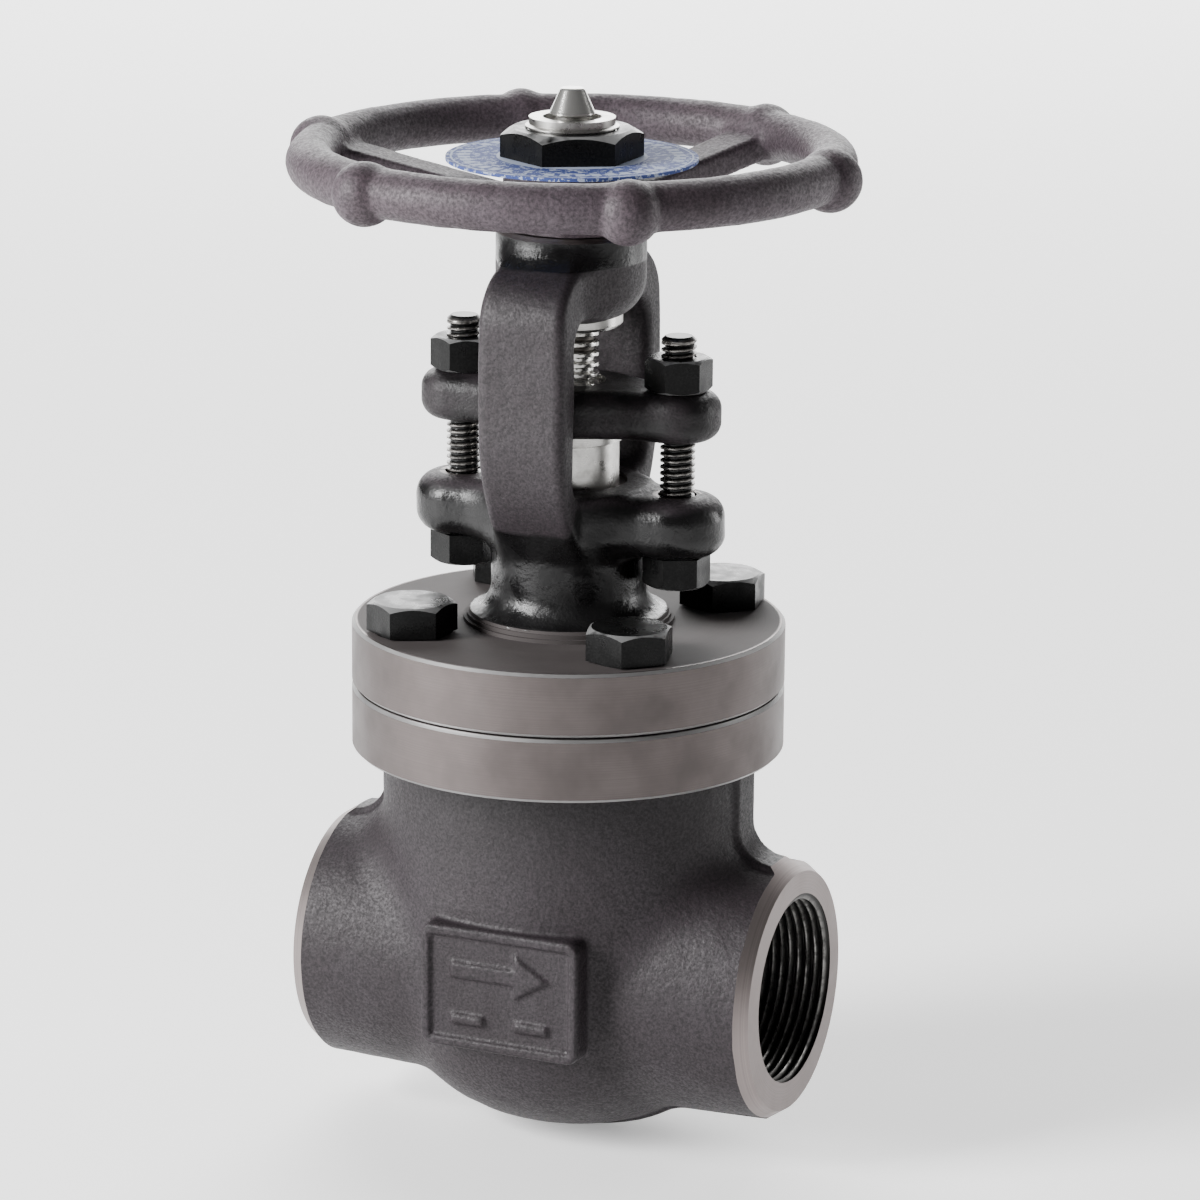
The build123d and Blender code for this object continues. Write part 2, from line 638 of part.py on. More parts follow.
# ---- sleeve and handwheel -----------------------------------------------
def yoke_sleeve():
    """Drive nut of the stem: collar below, hexagon for the wheel, thread for its nut."""
    bevel = SLEEVE_COLLAR_EDGE
    points = [
        (0, SLEEVE_COLLAR_LOW), (SLEEVE_COLLAR_R - bevel, SLEEVE_COLLAR_LOW),
        (SLEEVE_COLLAR_R, SLEEVE_COLLAR_LOW + bevel), (SLEEVE_COLLAR_R, WASHER_LOW),
        (SLEEVE_R, WASHER_LOW), (SLEEVE_R, WHEEL_HUB_TOP),
    ]
    points += thread_points(SLEEVE_R, SLEEVE_ROOT_R, SLEEVE_PITCH, WHEEL_HUB_TOP, SLEEVE_TOP)
    shape = turned(points + [(0, SLEEVE_TOP)])
    drive = hexagon(SLEEVE_FLATS, WHEEL_HUB_LOW, WHEEL_HUB_TOP)
    shape -= cyl(WHEEL_HUB_R, WHEEL_HUB_LOW, WHEEL_HUB_TOP) - drive
    return shape - bore(SLEEVE_BORE_R, SLEEVE_COLLAR_LOW, SLEEVE_TOP)


def sleeve_thrust_washer():
    return ring(SLEEVE_COLLAR_R, SLEEVE_R + SLIDE_GAP, WASHER_LOW, WASHER_TOP)


def spoke():
    """Flat bar that slopes up from the hub to the rim."""
    inner, outer = SPOKE_START_R, RIM_R
    side = Polyline(
        (inner, 0, SPOKE_HUB_Z - SPOKE_T), (outer, 0, SPOKE_RIM_Z - SPOKE_T), (outer, 0, SPOKE_RIM_Z),
        (inner, 0, SPOKE_HUB_Z), close=True,
    )
    bar = extrude(make_face(side), SPOKE_W / 2, both=True)
    long_edges = [e for e in bar.edges() if e.length > (RIM_R - SPOKE_START_R) / 2]
    return fillet(long_edges, SPOKE_EDGE)


def handwheel():
    """Rim with six knobs and three spokes, on a hub with a hexagonal hole."""
    shape = Pos(0, 0, RIM_Z) * Torus(RIM_R, RIM_TUBE_R)
    for i in range(KNOB_COUNT):
        knob = Pos(KNOB_AT_R, 0, RIM_Z) * Sphere(KNOB_R)
        shape += Rot(0, 0, KNOB_PHASE + 360 * i / KNOB_COUNT) * knob
    hub = cyl(WHEEL_HUB_R, WHEEL_HUB_LOW, WHEEL_HUB_TOP)
    shape += chamfer(hub.edges().filter_by(GeomType.CIRCLE), WHEEL_HUB_EDGE)
    for i in range(SPOKE_COUNT):
        shape += Rot(0, 0, SPOKE_PHASE + 360 * i / SPOKE_COUNT) * spoke()
    return shape - hexagon(SLEEVE_FLATS + 2 * SLIDE_GAP, WHEEL_HUB_LOW - SPOKE_T, WHEEL_HUB_TOP + SPOKE_T)


def name_plate():
    return ring(PLATE_R, SLEEVE_R + SLIP, WHEEL_HUB_TOP, WHEEL_HUB_TOP + PLATE_T)


def handwheel_nut():
    low = WHEEL_HUB_TOP + PLATE_T
    high = low + WHEEL_NUT_H
    return chamfered_hexagon(WHEEL_NUT_FLATS, low, high) - bore(SLEEVE_R + SLIDE_GAP, low, high)


PARTS = {
    "body": body,
    "seat_ring": seat_ring,
    "gasket_inner_ring": lambda: gasket(0),
    "gasket_winding": lambda: gasket(1),
    "gasket_outer_ring": lambda: gasket(2),
    "bonnet": bonnet,
    "backseat_bushing": backseat_bushing,
    "bonnet_bolts": bonnet_bolts,
    "packing_bottom_ring": lambda: packing_ring(0),
    "packing_core_rings": packing_core_rings,
    "packing_top_ring": lambda: packing_ring(PACKING_COUNT - 1),
    "gland": gland,
    "gland_flange": gland_flange,
    "gland_bolts": gland_bolts,
    "gland_nuts": gland_nuts,
    "yoke_sleeve": yoke_sleeve,
    "sleeve_thrust_washer": sleeve_thrust_washer,
    "handwheel": handwheel,
    "name_plate": name_plate,
    "handwheel_nut": handwheel_nut,
    "stem": stem,
    "disc": disc,
    "disc_nut": disc_nut,
}

os.makedirs("parts", exist_ok=True)
for name, make in PARTS.items():
    write(name, make())
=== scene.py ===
import math
from itertools import product

import bmesh
import bpy
import numpy as np
from mathutils import Matrix, Vector


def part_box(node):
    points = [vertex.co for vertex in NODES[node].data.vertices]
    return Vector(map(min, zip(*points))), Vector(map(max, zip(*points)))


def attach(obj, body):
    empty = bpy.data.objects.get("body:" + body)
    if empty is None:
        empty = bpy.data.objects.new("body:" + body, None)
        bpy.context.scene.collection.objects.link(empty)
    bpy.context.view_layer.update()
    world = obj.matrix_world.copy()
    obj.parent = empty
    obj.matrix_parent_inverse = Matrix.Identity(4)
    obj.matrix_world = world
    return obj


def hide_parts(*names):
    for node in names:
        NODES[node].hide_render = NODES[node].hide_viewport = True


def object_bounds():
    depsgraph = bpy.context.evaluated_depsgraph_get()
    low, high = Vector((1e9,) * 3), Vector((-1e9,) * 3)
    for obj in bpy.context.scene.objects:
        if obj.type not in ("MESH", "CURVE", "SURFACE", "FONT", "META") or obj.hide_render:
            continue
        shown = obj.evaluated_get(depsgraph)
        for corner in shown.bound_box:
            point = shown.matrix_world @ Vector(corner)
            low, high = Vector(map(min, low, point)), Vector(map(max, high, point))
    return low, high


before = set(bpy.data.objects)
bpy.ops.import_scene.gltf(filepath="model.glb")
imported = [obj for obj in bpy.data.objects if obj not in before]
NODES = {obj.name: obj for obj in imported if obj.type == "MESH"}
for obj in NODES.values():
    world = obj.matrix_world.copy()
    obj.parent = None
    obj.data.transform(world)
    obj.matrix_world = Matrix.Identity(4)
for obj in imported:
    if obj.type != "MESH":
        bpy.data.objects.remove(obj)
CAD_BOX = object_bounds()
MM = 0.001
TAU = 2 * math.pi
TINY = 1e-6


# ---- places read from the frame, in metres --------------------------------
def low(node):
    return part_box(node)[0]


def high(node):
    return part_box(node)[1]


PIPE_END = high("body").x
FLANGE_R = high("body").y
STEM_LOW = low("stem").z
STEM_TOP = high("stem").z
WHEEL_LOW = low("handwheel").z

# ---- meshing of the forgings and castings, in millimetres -----------------
BODY_STEP = 0.8
BONNET_STEP = 0.75
GLAND_STEP = 0.5
WHEEL_STEP = 0.8
# Where the grid starts, in steps. Each is tried in turn until the surface comes out closed.
GRID_NUDGES = (2.5, 2.3, 2.1, 1.9, 2.7)
# Edges that bend more than this are drawn sharp, inside forged skin and inside machined faces.
SOFT_ANGLE = math.radians(65)
CRISP_ANGLE = math.radians(24)
STEM_ANGLE = math.radians(35)

# ---- body, in millimetres -------------------------------------------------
BARREL_X = 47.0
BARREL_Y = 38.0
BARREL_FULLNESS = 2.25
BOWL_Z = -1.0
BOWL_DEPTH = 39.7
HUB_ROOT_R = 33.3
HUB_DRAFT = 1.6 / 57.7
HUB_FILLET = 18.0
HUB_TOP_FILLET = 9.5
HUB_LOW_FILLET = 11.5
HUB_FACE_R = 29.6
HUB_CHAMFER_R = 36.0
HUB_CHAMFER_SLOPE = 2.2 / 3.3
LAND_HALF = 5.0
LAND_PROUD = 0.7
UNDER_FLANGE_R = 50.0
UNDER_FLANGE_LOW = 56.1
FLANGE_CUT_Z = 55.4
PANEL_W = 42.0
PANEL_H = 31.0
PANEL_Z = 2.5
PANEL_FACE = 39.2
PANEL_ROOT = 27.0
PANEL_RELIEF = 1.1
PIPE_R = 24.1
PIPE_PITCH = 25.4 / 11.5
PIPE_TAPER = 1 / 32
PIPE_THREAD_DEPTH = 1.5
PIPE_THREAD_TURNS = 10
PIPE_THREAD_STEPS = 10

# ---- bonnet, gland and stem, in millimetres -------------------------------
BONNET_FLANGE_TOP = 87.38
BOSS_SKIN_R = 24.2
BOSS_TOP = 89.9
BOSS_STEP = 0.8
NECK_R = 19.0
NECK_TOP = 121.2
EAR_X = 28.4
EAR_R = 11.7
ARM_OUT = 29.9
ARM_W = 23.0
WINDOW_Z = 143.25
YOKE_HUB_R = 18.2
YOKE_HUB_LOW = 163.4
YOKE_HUB_TOP = 184.4
BOLT_R = 4.25
BOLT_PITCH = 1.6
BOLT_THREAD_DEPTH = 0.85
BOLT_HEAD_CUT = 112.0
GLAND_EAR_R = 10.4
GLAND_Z = 141.0
STEM_R = 7.0
STEM_PITCH = 2.54
STEM_THREAD_DEPTH = 1.27
STEM_THREAD_LOW = 142.0
STEM_OILY_RISE = 142.0

# ---- handwheel, in millimetres and degrees --------------------------------
WHEEL_HUB_R = 16.5
WHEEL_HUB_Z = 192.65
WHEEL_HUB_HALF = 11.5
WHEEL_HUB_TOP = 200.6
RIM_R = 62.5
RIM_TUBE_R = 5.85
RIM_Z = 200.3
KNOBS = 6
KNOB_PHASE = 5.8
KNOB_R = 7.65
KNOB_AT_R = 64.1
KNOB_DROP = 0.7
SPOKES = 3
SPOKE_PHASE = 65.8
SPOKE_HALF = 3.4
SPOKE_SLOPE = 10.4 / 49.8

# ---- tints that a grey is multiplied by -----------------------------------
FORGE_TINT = (1.12, 0.88, 1.02)
MACHINED_TINT = (1.10, 0.95, 0.92)
STEEL_TINT = (1.0, 0.985, 0.95)


# ---- procedural materials -------------------------------------------------
class Paint:
    """A node material with short calls for the nodes it needs. A mask runs from 0 to 1."""

    def __init__(self, name, **shader):
        self.material = bpy.data.materials.new(name)
        self.material.use_nodes = True
        self.tree = self.material.node_tree
        self.shader = self.tree.nodes["Principled BSDF"]
        for socket, value in shader.items():
            self.shader.inputs[socket.replace("_", " ")].default_value = value
        self.place = self.add("ShaderNodeTexCoord").outputs["Object"]
        split = self.add("ShaderNodeSeparateXYZ", {0: self.place})
        self.x, self.y, self.z = split.outputs
        self.radius = self.length(self.x, self.y)

    def add(self, kind, inputs=None, **settings):
        node = self.tree.nodes.new(kind)
        for key, value in settings.items():
            setattr(node, key, value)
        for key, value in (inputs or {}).items():
            if isinstance(value, bpy.types.NodeSocket):
                self.tree.links.new(value, node.inputs[key])
            else:
                node.inputs[key].default_value = value
        return node

    def calc(self, operation, a, b=0.0):
        return self.add("ShaderNodeMath", {0: a, 1: b}, operation=operation).outputs[0]

    def vector(self, x, y=0.0):
        return self.add("ShaderNodeCombineXYZ", {0: x, 1: y}).outputs[0]

    def length(self, a, b):
        squares = self.calc("ADD", self.calc("MULTIPLY", a, a), self.calc("MULTIPLY", b, b))
        return self.calc("SQRT", squares)

    def noise(self, size, detail=2.0, roughness=0.5, place=None):
        """Noise whose features are about size metres across."""
        inputs = {"Vector": place or self.place, "Scale": 1 / size, "Detail": detail,
                  "Roughness": roughness}
        return self.add("ShaderNodeTexNoise", inputs).outputs["Fac"]

    def band(self, value, start, end):
        """0 below start and 1 above end, or the other way round where end is the lower."""
        inputs = {"Value": value, "From Min": start, "From Max": end}
        return self.add("ShaderNodeMapRange", inputs, clamp=True).outputs[0]

    def between(self, value, start, end, soft):
        """1 from start to end, fading to 0 outside over a distance of soft."""
        rising = self.band(value, start - soft, start)
        return self.calc("MULTIPLY", rising, self.band(value, end + soft, end))

    def chain(self, operation, masks):
        result = masks[0]
        for mask in masks[1:]:
            result = self.calc(operation, result, mask)
        return result

    def both(self, *masks):
        return self.chain("MULTIPLY", masks)

    def either(self, *masks):
        return self.chain("MAXIMUM", masks)

    def outside(self, mask):
        """1 where the mask is 0."""
        return self.calc("SUBTRACT", 1.0, mask)

    def mix(self, factor, a, b):
        node = self.add("ShaderNodeMix", {0: factor, 6: a, 7: b}, data_type="RGBA")
        return node.outputs[2]

    def multiply(self, a, b):
        """One colour multiplied by another."""
        settings = {"data_type": "RGBA", "blend_type": "MULTIPLY"}
        return self.add("ShaderNodeMix", {0: 1.0, 6: a, 7: b}, **settings).outputs[2]

    def blend(self, factor, a, b):
        node = self.add("ShaderNodeMix", {0: factor, 2: a, 3: b}, data_type="FLOAT")
        return node.outputs[0]

    def around(self):
        """Radius and height only, so noise on it makes rings about the stem's axis."""
        return self.vector(self.radius, self.z)

    def up(self):
        """How far the surface faces upward, from -1 to 1."""
        geometry = self.add("ShaderNodeNewGeometry")
        return self.add("ShaderNodeSeparateXYZ", {0: geometry.outputs["True Normal"]}).outputs[2]

    def bump(self, height, distance, strength):
        inputs = {"Height": height, "Distance": distance, "Strength": strength}
        return self.add("ShaderNodeBump", inputs).outputs[0]

    def use(self, colour, roughness=None, normal=None, metallic=None):
        """Links the sockets that are given, and leaves the others at their constants."""
        sockets = {"Base Color": colour, "Roughness": roughness, "Normal": normal, "Metallic": metallic}
        for name, value in sockets.items():
            if value is not None:
                self.tree.links.new(value, self.shader.inputs[name])
        return self.material


def grey(value, tint=(1.0, 1.0, 1.0)):
    return (value * tint[0], value * tint[1], value * tint[2], 1.0)


def forged_skin(paint, dark=0.008, light=0.023, grain=0.7 * MM):
    """Colour, roughness and height of scaled, phosphated forging skin."""
    fine = paint.noise(grain, 3.0, 0.65)
    pits = paint.noise(grain * 2.6)
    cloud = paint.band(paint.noise(18 * MM, 3.0, 0.55), 0.35, 0.7)
    speck = paint.band(fine, 0.36, 0.66)
    colour = paint.mix(speck, grey(dark, FORGE_TINT), grey(light, FORGE_TINT))
    stain = paint.mix(cloud, grey(0.82, (1.04, 0.97, 1.0)), grey(1.06, (1.0, 0.99, 1.02)))
    colour = paint.multiply(colour, stain)
    roughness = paint.blend(speck, 0.66, 0.46)
    height = paint.calc("ADD", paint.calc("MULTIPLY", fine, 0.5), paint.calc("MULTIPLY", pits, 0.7))
    return colour, roughness, height


def skin_material(name, dark=0.008, light=0.023, grain=0.7 * MM, oiled=None, painted_shade_heights=None):
    """Forging skin. oiled is the roughness of its oily patches. The last argument gives the heights
    between which painted shade darkens the skin towards the top."""
    paint = Paint(name, Metallic=0.0, Specular_IOR_Level=0.28)
    colour, roughness, height = forged_skin(paint, dark, light, grain)
    if oiled:
        oil = paint.band(paint.noise(9 * MM), 0.42, 0.6)
        roughness = paint.blend(oil, roughness, oiled)
        colour = paint.mix(oil, colour, grey(dark * 0.5, FORGE_TINT))
    # Painted shade: the skin is painted darker towards the top between the given heights, for the shade
    # under the flange.
    if painted_shade_heights:
        uneven = paint.calc("MULTIPLY", paint.noise(6 * MM, 3.0, 0.6), 8 * MM)
        painted_shade = paint.band(paint.calc("ADD", paint.z, uneven), *painted_shade_heights)
        painted_shade = paint.calc("MULTIPLY", painted_shade, 0.75)
        colour = paint.mix(painted_shade, colour, grey(dark * 0.4, FORGE_TINT))
    return paint.use(colour, roughness, paint.bump(height, 0.4 * MM, 0.6))


def bonnet_skin_material():
    """Forged skin that is black and wet with oil from the neck to the ears. Under the wheel it is
    painted glossy black as painted shade.
    """
    paint = Paint("bonnet_skin", Metallic=0.0, Specular_IOR_Level=0.3)
    colour, roughness, height = forged_skin(paint)
    patches = paint.noise(12 * MM)
    arms = paint.both(paint.band(paint.calc("ABSOLUTE", paint.y), 21 * MM, 24 * MM),
                      paint.band(paint.z, 105 * MM, 110 * MM))
    neck = paint.both(paint.band(paint.z, 124 * MM, 116 * MM), paint.outside(arms))
    # Painted shade: from 175.5 mm up, under the wheel, the hub is painted black.
    top = paint.band(paint.z, 175.5 * MM, 178 * MM)
    oil_and_painted_shade = paint.calc("ADD", paint.either(neck, top), paint.calc("MULTIPLY", patches, 0.5))
    oil_and_painted_shade = paint.band(oil_and_painted_shade, 0.75, 0.95)
    colour = paint.mix(oil_and_painted_shade, colour, grey(0.004, (1.0, 0.95, 1.0)))
    oil = paint.blend(paint.band(patches, 0.4, 0.6), 0.18, 0.42)
    roughness = paint.blend(oil_and_painted_shade, roughness, oil)
    return paint.use(colour, roughness, paint.bump(height, 0.35 * MM, 0.55))


def machined_material():
    """Turned rims and faces: fine rings about the stem or the pipe, dulled by handling."""
    paint = Paint("machined_rim", Metallic=0.9, Specular_IOR_Level=0.15)
    on_face = paint.band(paint.radius, FLANGE_R - 1.2 * MM, FLANGE_R - 1.6 * MM)
    hub = paint.both(paint.band(paint.calc("ABSOLUTE", paint.x), PIPE_END - 8 * MM, PIPE_END - 7 * MM),
                     paint.band(paint.z, 40 * MM, 38 * MM))
    # On the flange's rim only the height counts, so the noise makes rings there too.
    place = paint.vector(paint.calc("MULTIPLY", paint.radius, on_face), paint.z)
    flange_rings = paint.noise(0.22 * MM, 2.0, 0.6, place)
    hub_rings = paint.noise(0.25 * MM, 2.0, 0.6, paint.vector(paint.length(paint.y, paint.z)))
    rings = paint.blend(hub, flange_rings, hub_rings)
    lines = paint.band(rings, 0.3, 0.7)
    patch = paint.noise(11 * MM, 3.0, 0.55)
    colour = paint.mix(lines, grey(0.085, MACHINED_TINT), grey(0.112, MACHINED_TINT))
    colour = paint.mix(paint.band(patch, 0.35, 0.8), colour, grey(0.078, MACHINED_TINT))
    top = paint.both(on_face, paint.outside(hub), paint.band(paint.z, 91 * MM, 90.9 * MM))
    colour = paint.mix(paint.calc("MULTIPLY", top, 0.6), colour, grey(0.02, (1.05, 0.97, 1.0)))
    bright = paint.mix(lines, grey(0.17, MACHINED_TINT), grey(0.24, MACHINED_TINT))
    colour = paint.mix(hub, colour, bright)
    # Painted highlight: a bright line is painted round the flanges' edges, above 52 mm.
    corner = paint.between(paint.radius, FLANGE_R - 0.72 * MM, FLANGE_R - 0.06 * MM, 0.04 * MM)
    wear_and_painted_highlight = paint.calc("MULTIPLY", paint.both(corner, paint.band(paint.z, 50 * MM, 52 * MM)), 0.7)
    colour = paint.mix(wear_and_painted_highlight, colour, grey(0.45))
    roughness = paint.blend(top, paint.blend(paint.band(patch, 0.4, 0.7), 0.42, 0.52), 0.7)
    return paint.use(colour, roughness, paint.bump(rings, 0.03 * MM, 0.45), paint.blend(top, 0.9, 0.0))


def pipe_thread_material():
    """Pipe thread: dull steel crests over dark, oily roots. The crests are painted darker deeper in the
    socket, as painted shade.
    """
    paint = Paint("pipe_thread", Metallic=0.85)
    across = paint.length(paint.y, paint.z)
    grime = paint.noise(1.8 * MM, 3.0, 0.6)
    crest = paint.band(across, 23.6 * MM, 22.5 * MM)
    # Painted shade: the crests are painted darker from 4 mm to 17 mm inside the mouth.
    painted_light_near_mouth = paint.band(paint.calc("ABSOLUTE", paint.x), PIPE_END - 17 * MM, PIPE_END - 4 * MM)
    shine = paint.both(crest, paint.blend(painted_light_near_mouth, 0.35, 1.0), paint.band(grime, 0.25, 0.55))
    colour = paint.mix(shine, grey(0.02, (1.0, 0.94, 0.9)), grey(0.21, (1.0, 0.97, 0.93)))
    return paint.use(colour, paint.blend(shine, 0.5, 0.3), paint.bump(grime, 0.05 * MM, 0.5))


def gland_bolt_material():
    """Plain steel threads with dark, oily roots."""
    paint = Paint("gland_bolt", Metallic=0.8)
    off = paint.calc("SUBTRACT", paint.calc("ABSOLUTE", paint.x), EAR_X * MM)
    radius = paint.length(off, paint.y)
    grime = paint.noise(1.6 * MM, 3.0, 0.6)
    shine = paint.both(paint.band(radius, 3.6 * MM, 4.2 * MM), paint.band(grime, 0.25, 0.6))
    colour = paint.mix(shine, grey(0.012), grey(0.17, (1.0, 0.95, 0.9)))
    return paint.use(colour, paint.blend(shine, 0.35, 0.26), paint.bump(grime, 0.05 * MM, 0.5))


def black_oxide_material():
    """Oiled black fasteners, with the chamfers worn bright."""
    paint = Paint("black_oxide", Metallic=0.0, Specular_IOR_Level=0.12)
    fine = paint.noise(0.5 * MM, 3.0, 0.6)
    smear = paint.noise(5 * MM, 2.0, 0.5)
    colour = paint.mix(paint.band(fine, 0.4, 0.7), grey(0.003), grey(0.008))
    slope = paint.calc("ABSOLUTE", paint.up())
    wear_and_painted_highlight = paint.both(paint.between(slope, 0.6, 0.95, 0.05), paint.band(smear, 0.3, 0.5))
    colour = paint.mix(wear_and_painted_highlight, colour, grey(0.12))
    roughness = paint.blend(paint.band(smear, 0.35, 0.65), 0.2, 0.42)
    return paint.use(colour, roughness, paint.bump(fine, 0.12 * MM, 0.4))


def steel_material(name, value=0.55, rough=0.24, dirt=0.35):
    """Bright turned steel with fine lines round the axis and oil in patches."""
    paint = Paint(name, Metallic=1.0)
    rings = paint.noise(0.16 * MM, 2.0, 0.6, paint.around())
    smear = paint.noise(4 * MM, 3.0, 0.6)
    lines = paint.band(rings, 0.3, 0.7)
    colour = paint.mix(lines, grey(value * 0.82, STEEL_TINT), grey(value, STEEL_TINT))
    grime = paint.calc("MULTIPLY", paint.band(smear, 0.5, 0.7), dirt)
    colour = paint.mix(grime, colour, grey(value * 0.2, (1.0, 0.92, 0.8)))
    roughness = paint.blend(paint.band(smear, 0.35, 0.7), rough, rough + 0.16)
    return paint.use(colour, roughness, paint.bump(rings, 0.02 * MM, 0.5))


def stem_material():
    """Bright steel. The roots of the thread are dark with oil above its first few turns."""
    paint = Paint("stem_steel", Metallic=0.9)
    grime = paint.noise(1.6 * MM, 3.0, 0.6)
    rings = paint.noise(0.14 * MM, 2.0, 0.6, paint.around())
    oily_low = STEM_LOW + STEM_OILY_RISE * MM
    thread = paint.between(paint.z, oily_low, STEM_TOP - 9.6 * MM, 0.2 * MM)
    root = paint.both(thread, paint.band(paint.radius, 6.9 * MM, 5.9 * MM))
    colour = paint.mix(paint.band(rings, 0.3, 0.7), grey(0.52, STEEL_TINT), grey(0.66, STEEL_TINT))
    oily = paint.both(thread, paint.band(grime, 0.45, 0.7))
    colour = paint.mix(oily, colour, grey(0.25, (1, 0.95, 0.85)))
    colour = paint.mix(root, colour, grey(0.06, (1, 0.9, 0.8)))
    return paint.use(colour, paint.blend(root, 0.2, 0.45), paint.bump(rings, 0.02 * MM, 0.5))


def graphite_material():
    """Dull, crumbly graphite."""
    paint = Paint("graphite", Metallic=0.2)
    fine = paint.noise(0.6 * MM, 3.0, 0.6)
    colour = paint.mix(fine, grey(0.03), grey(0.09))
    return paint.use(colour, paint.blend(fine, 0.35, 0.6), paint.bump(fine, 0.1 * MM, 0.4))


def plate_material():
    """Printed metal sheet: a blue field with silver rings, bars and specks, and no lettering."""
    bar_count, group_count = 44.0, 4.0
    paint = Paint("printed_plate", Metallic=0.0, Specular_IOR_Level=0.05)
    turn = paint.calc("MULTIPLY", paint.calc("ARCTAN2", paint.y, paint.x), 1 / TAU)
    bars = paint.calc("FRACT", paint.calc("MULTIPLY", turn, bar_count))
    groups = paint.calc("FRACT", paint.calc("MULTIPLY", turn, group_count))
    bars = paint.both(paint.between(bars, 0.2, 0.8, 0.02), paint.between(groups, 0.1, 0.9, 0.005))
    outer = paint.between(paint.radius, 24.5 * MM, 27.2 * MM, 0.1 * MM)
    line = paint.between(paint.radius, 28.8 * MM, 29.2 * MM, 0.05 * MM)
    inner = paint.band(paint.radius, 18.2 * MM, 18.0 * MM)
    specks = paint.noise(1.5 * MM, 2.0, 0.8)
    fine = paint.noise(0.5 * MM, 2.0, 0.6)
    silver = paint.either(paint.both(outer, bars), line, inner, paint.band(specks, 0.54, 0.58))
    blue = paint.mix(fine, (0.025, 0.038, 0.13, 1), (0.07, 0.095, 0.25, 1))
    colour = paint.mix(silver, blue, (0.30, 0.34, 0.44, 1))
    return paint.use(colour, paint.blend(specks, 0.55, 0.75), paint.bump(specks, 0.05 * MM, 0.3))


# ---- meshes ---------------------------------------------------------------
RIGHT_HAND, LEFT_HAND = 1, -1


def add_object(name, data):
    """A new object for a mesh, camera or light, linked to the scene."""
    made = bpy.data.objects.new(name, data)
    bpy.context.scene.collection.objects.link(made)
    return made


def put_in_frame(piece, body, node):
    """Puts a piece on the body that it rides on, and hides the CAD node that it stands for."""
    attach(piece, body)
    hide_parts(node)


def grid_faces(rows, columns, closed_rows=False):
    """Quads between rings of points, each ring closed on itself."""
    faces = []
    for i in range(rows if closed_rows else rows - 1):
        j = (i + 1) % rows
        for k in range(columns):
            n = (k + 1) % columns
            faces.append((i * columns + k, i * columns + n, j * columns + n, j * columns + k))
    return faces


def tooth(phase, crest, root):
    """Height of a thread's profile, 0 to 1, with flats crest and root wide."""
    away = abs((phase % 1.0) - 0.5) * 2
    return min(max((1 - root - away) / (1 - root - crest), 0.0), 1.0)


def threaded_rings(rows, pitch, hand, columns, crest, root):
    """Rings of points about Z. Each row is its height, its outer radius and its thread's depth."""
    points = []
    for z, radius, depth in rows:
        for k in range(columns):
            turn = k / columns
            height = tooth(z / pitch - hand * turn, crest, root)
            r = radius - depth * (1 - height)
            points.append((r * math.cos(TAU * turn), r * math.sin(TAU * turn), z))
    return points


def thread_rows(start, end, radius, depth, pitch, steps):
    """Rows of a thread, steps to a turn, that runs out over one turn at each end."""
    count = max(2, round((end - start) / pitch * steps))
    rows = []
    for i in range(count + 1):
        z = start + (end - start) * i / count
        near = min(z - start, end - z) / pitch
        rows.append((z, radius, depth * min(max(near, 0.0), 1.0)))
    return rows


def stem_piece(material):
    """The stem, with its thread as one left-hand helix."""
    columns = 72
    # Radii by the rise above the stem's foot, and by the drop below its top.
    foot = [(0.0, 0.01), (0.0, 5.8), (15.8, 5.8), (16.8, STEM_R), (18.8, STEM_R), (18.8, 9.6),
            (22.3, 9.6), (24.9, STEM_R)]
    tip = [(9.8, 6.2), (9.4, 5.6), (9.0, 4.1), (6.9, 4.1), (6.6, 5.0), (6.2, 5.45), (5.75, 5.45),
           (5.55, 5.3), (0.5, 3.05), (0.15, 2.8), (0.0, 2.4), (0.0, 0.01)]
    rows = [(rise * MM + STEM_LOW, radius * MM, 0.0) for rise, radius in foot]
    rows += thread_rows(STEM_THREAD_LOW * MM, STEM_TOP - tip[0][0] * MM, STEM_R * MM,
                        STEM_THREAD_DEPTH * MM, STEM_PITCH * MM, steps=12)
    rows += [(STEM_TOP - drop * MM, radius * MM, 0.0) for drop, radius in tip]
    points = threaded_rings(rows, STEM_PITCH * MM, LEFT_HAND, columns, crest=0.36, root=0.34)
    mesh = bpy.data.meshes.new("stem_threaded")
    mesh.from_pydata(points, [], grid_faces(len(rows), columns))
    mesh.update()
    mesh.polygons.foreach_set("use_smooth", [True] * len(mesh.polygons))
    mesh.set_sharp_from_angle(angle=STEM_ANGLE)
    mesh.materials.append(material)
    piece = add_object("stem_threaded", mesh)
    put_in_frame(piece, "plug", "stem")


# ---- shapes as distance fields, in millimetres ----------------------------
def soft_union(a, b, r):
    """Union of two fields, with a fillet of radius r where they meet."""
    near = np.hypot(np.maximum(r - a, 0), np.maximum(r - b, 0))
    return np.maximum(r, np.minimum(a, b)) - near


def soft_cut(a, b, r):
    """What two fields share, with its edge rounded to radius r."""
    return -soft_union(-a, -b, r)


def rounded_box(u, v, half_u, half_v, r):
    """Flat field of a rectangle with corners of radius r."""
    du, dv = np.abs(u) - half_u + r, np.abs(v) - half_v + r
    outside = np.hypot(np.maximum(du, 0), np.maximum(dv, 0))
    return outside + np.minimum(np.maximum(du, dv), 0) - r


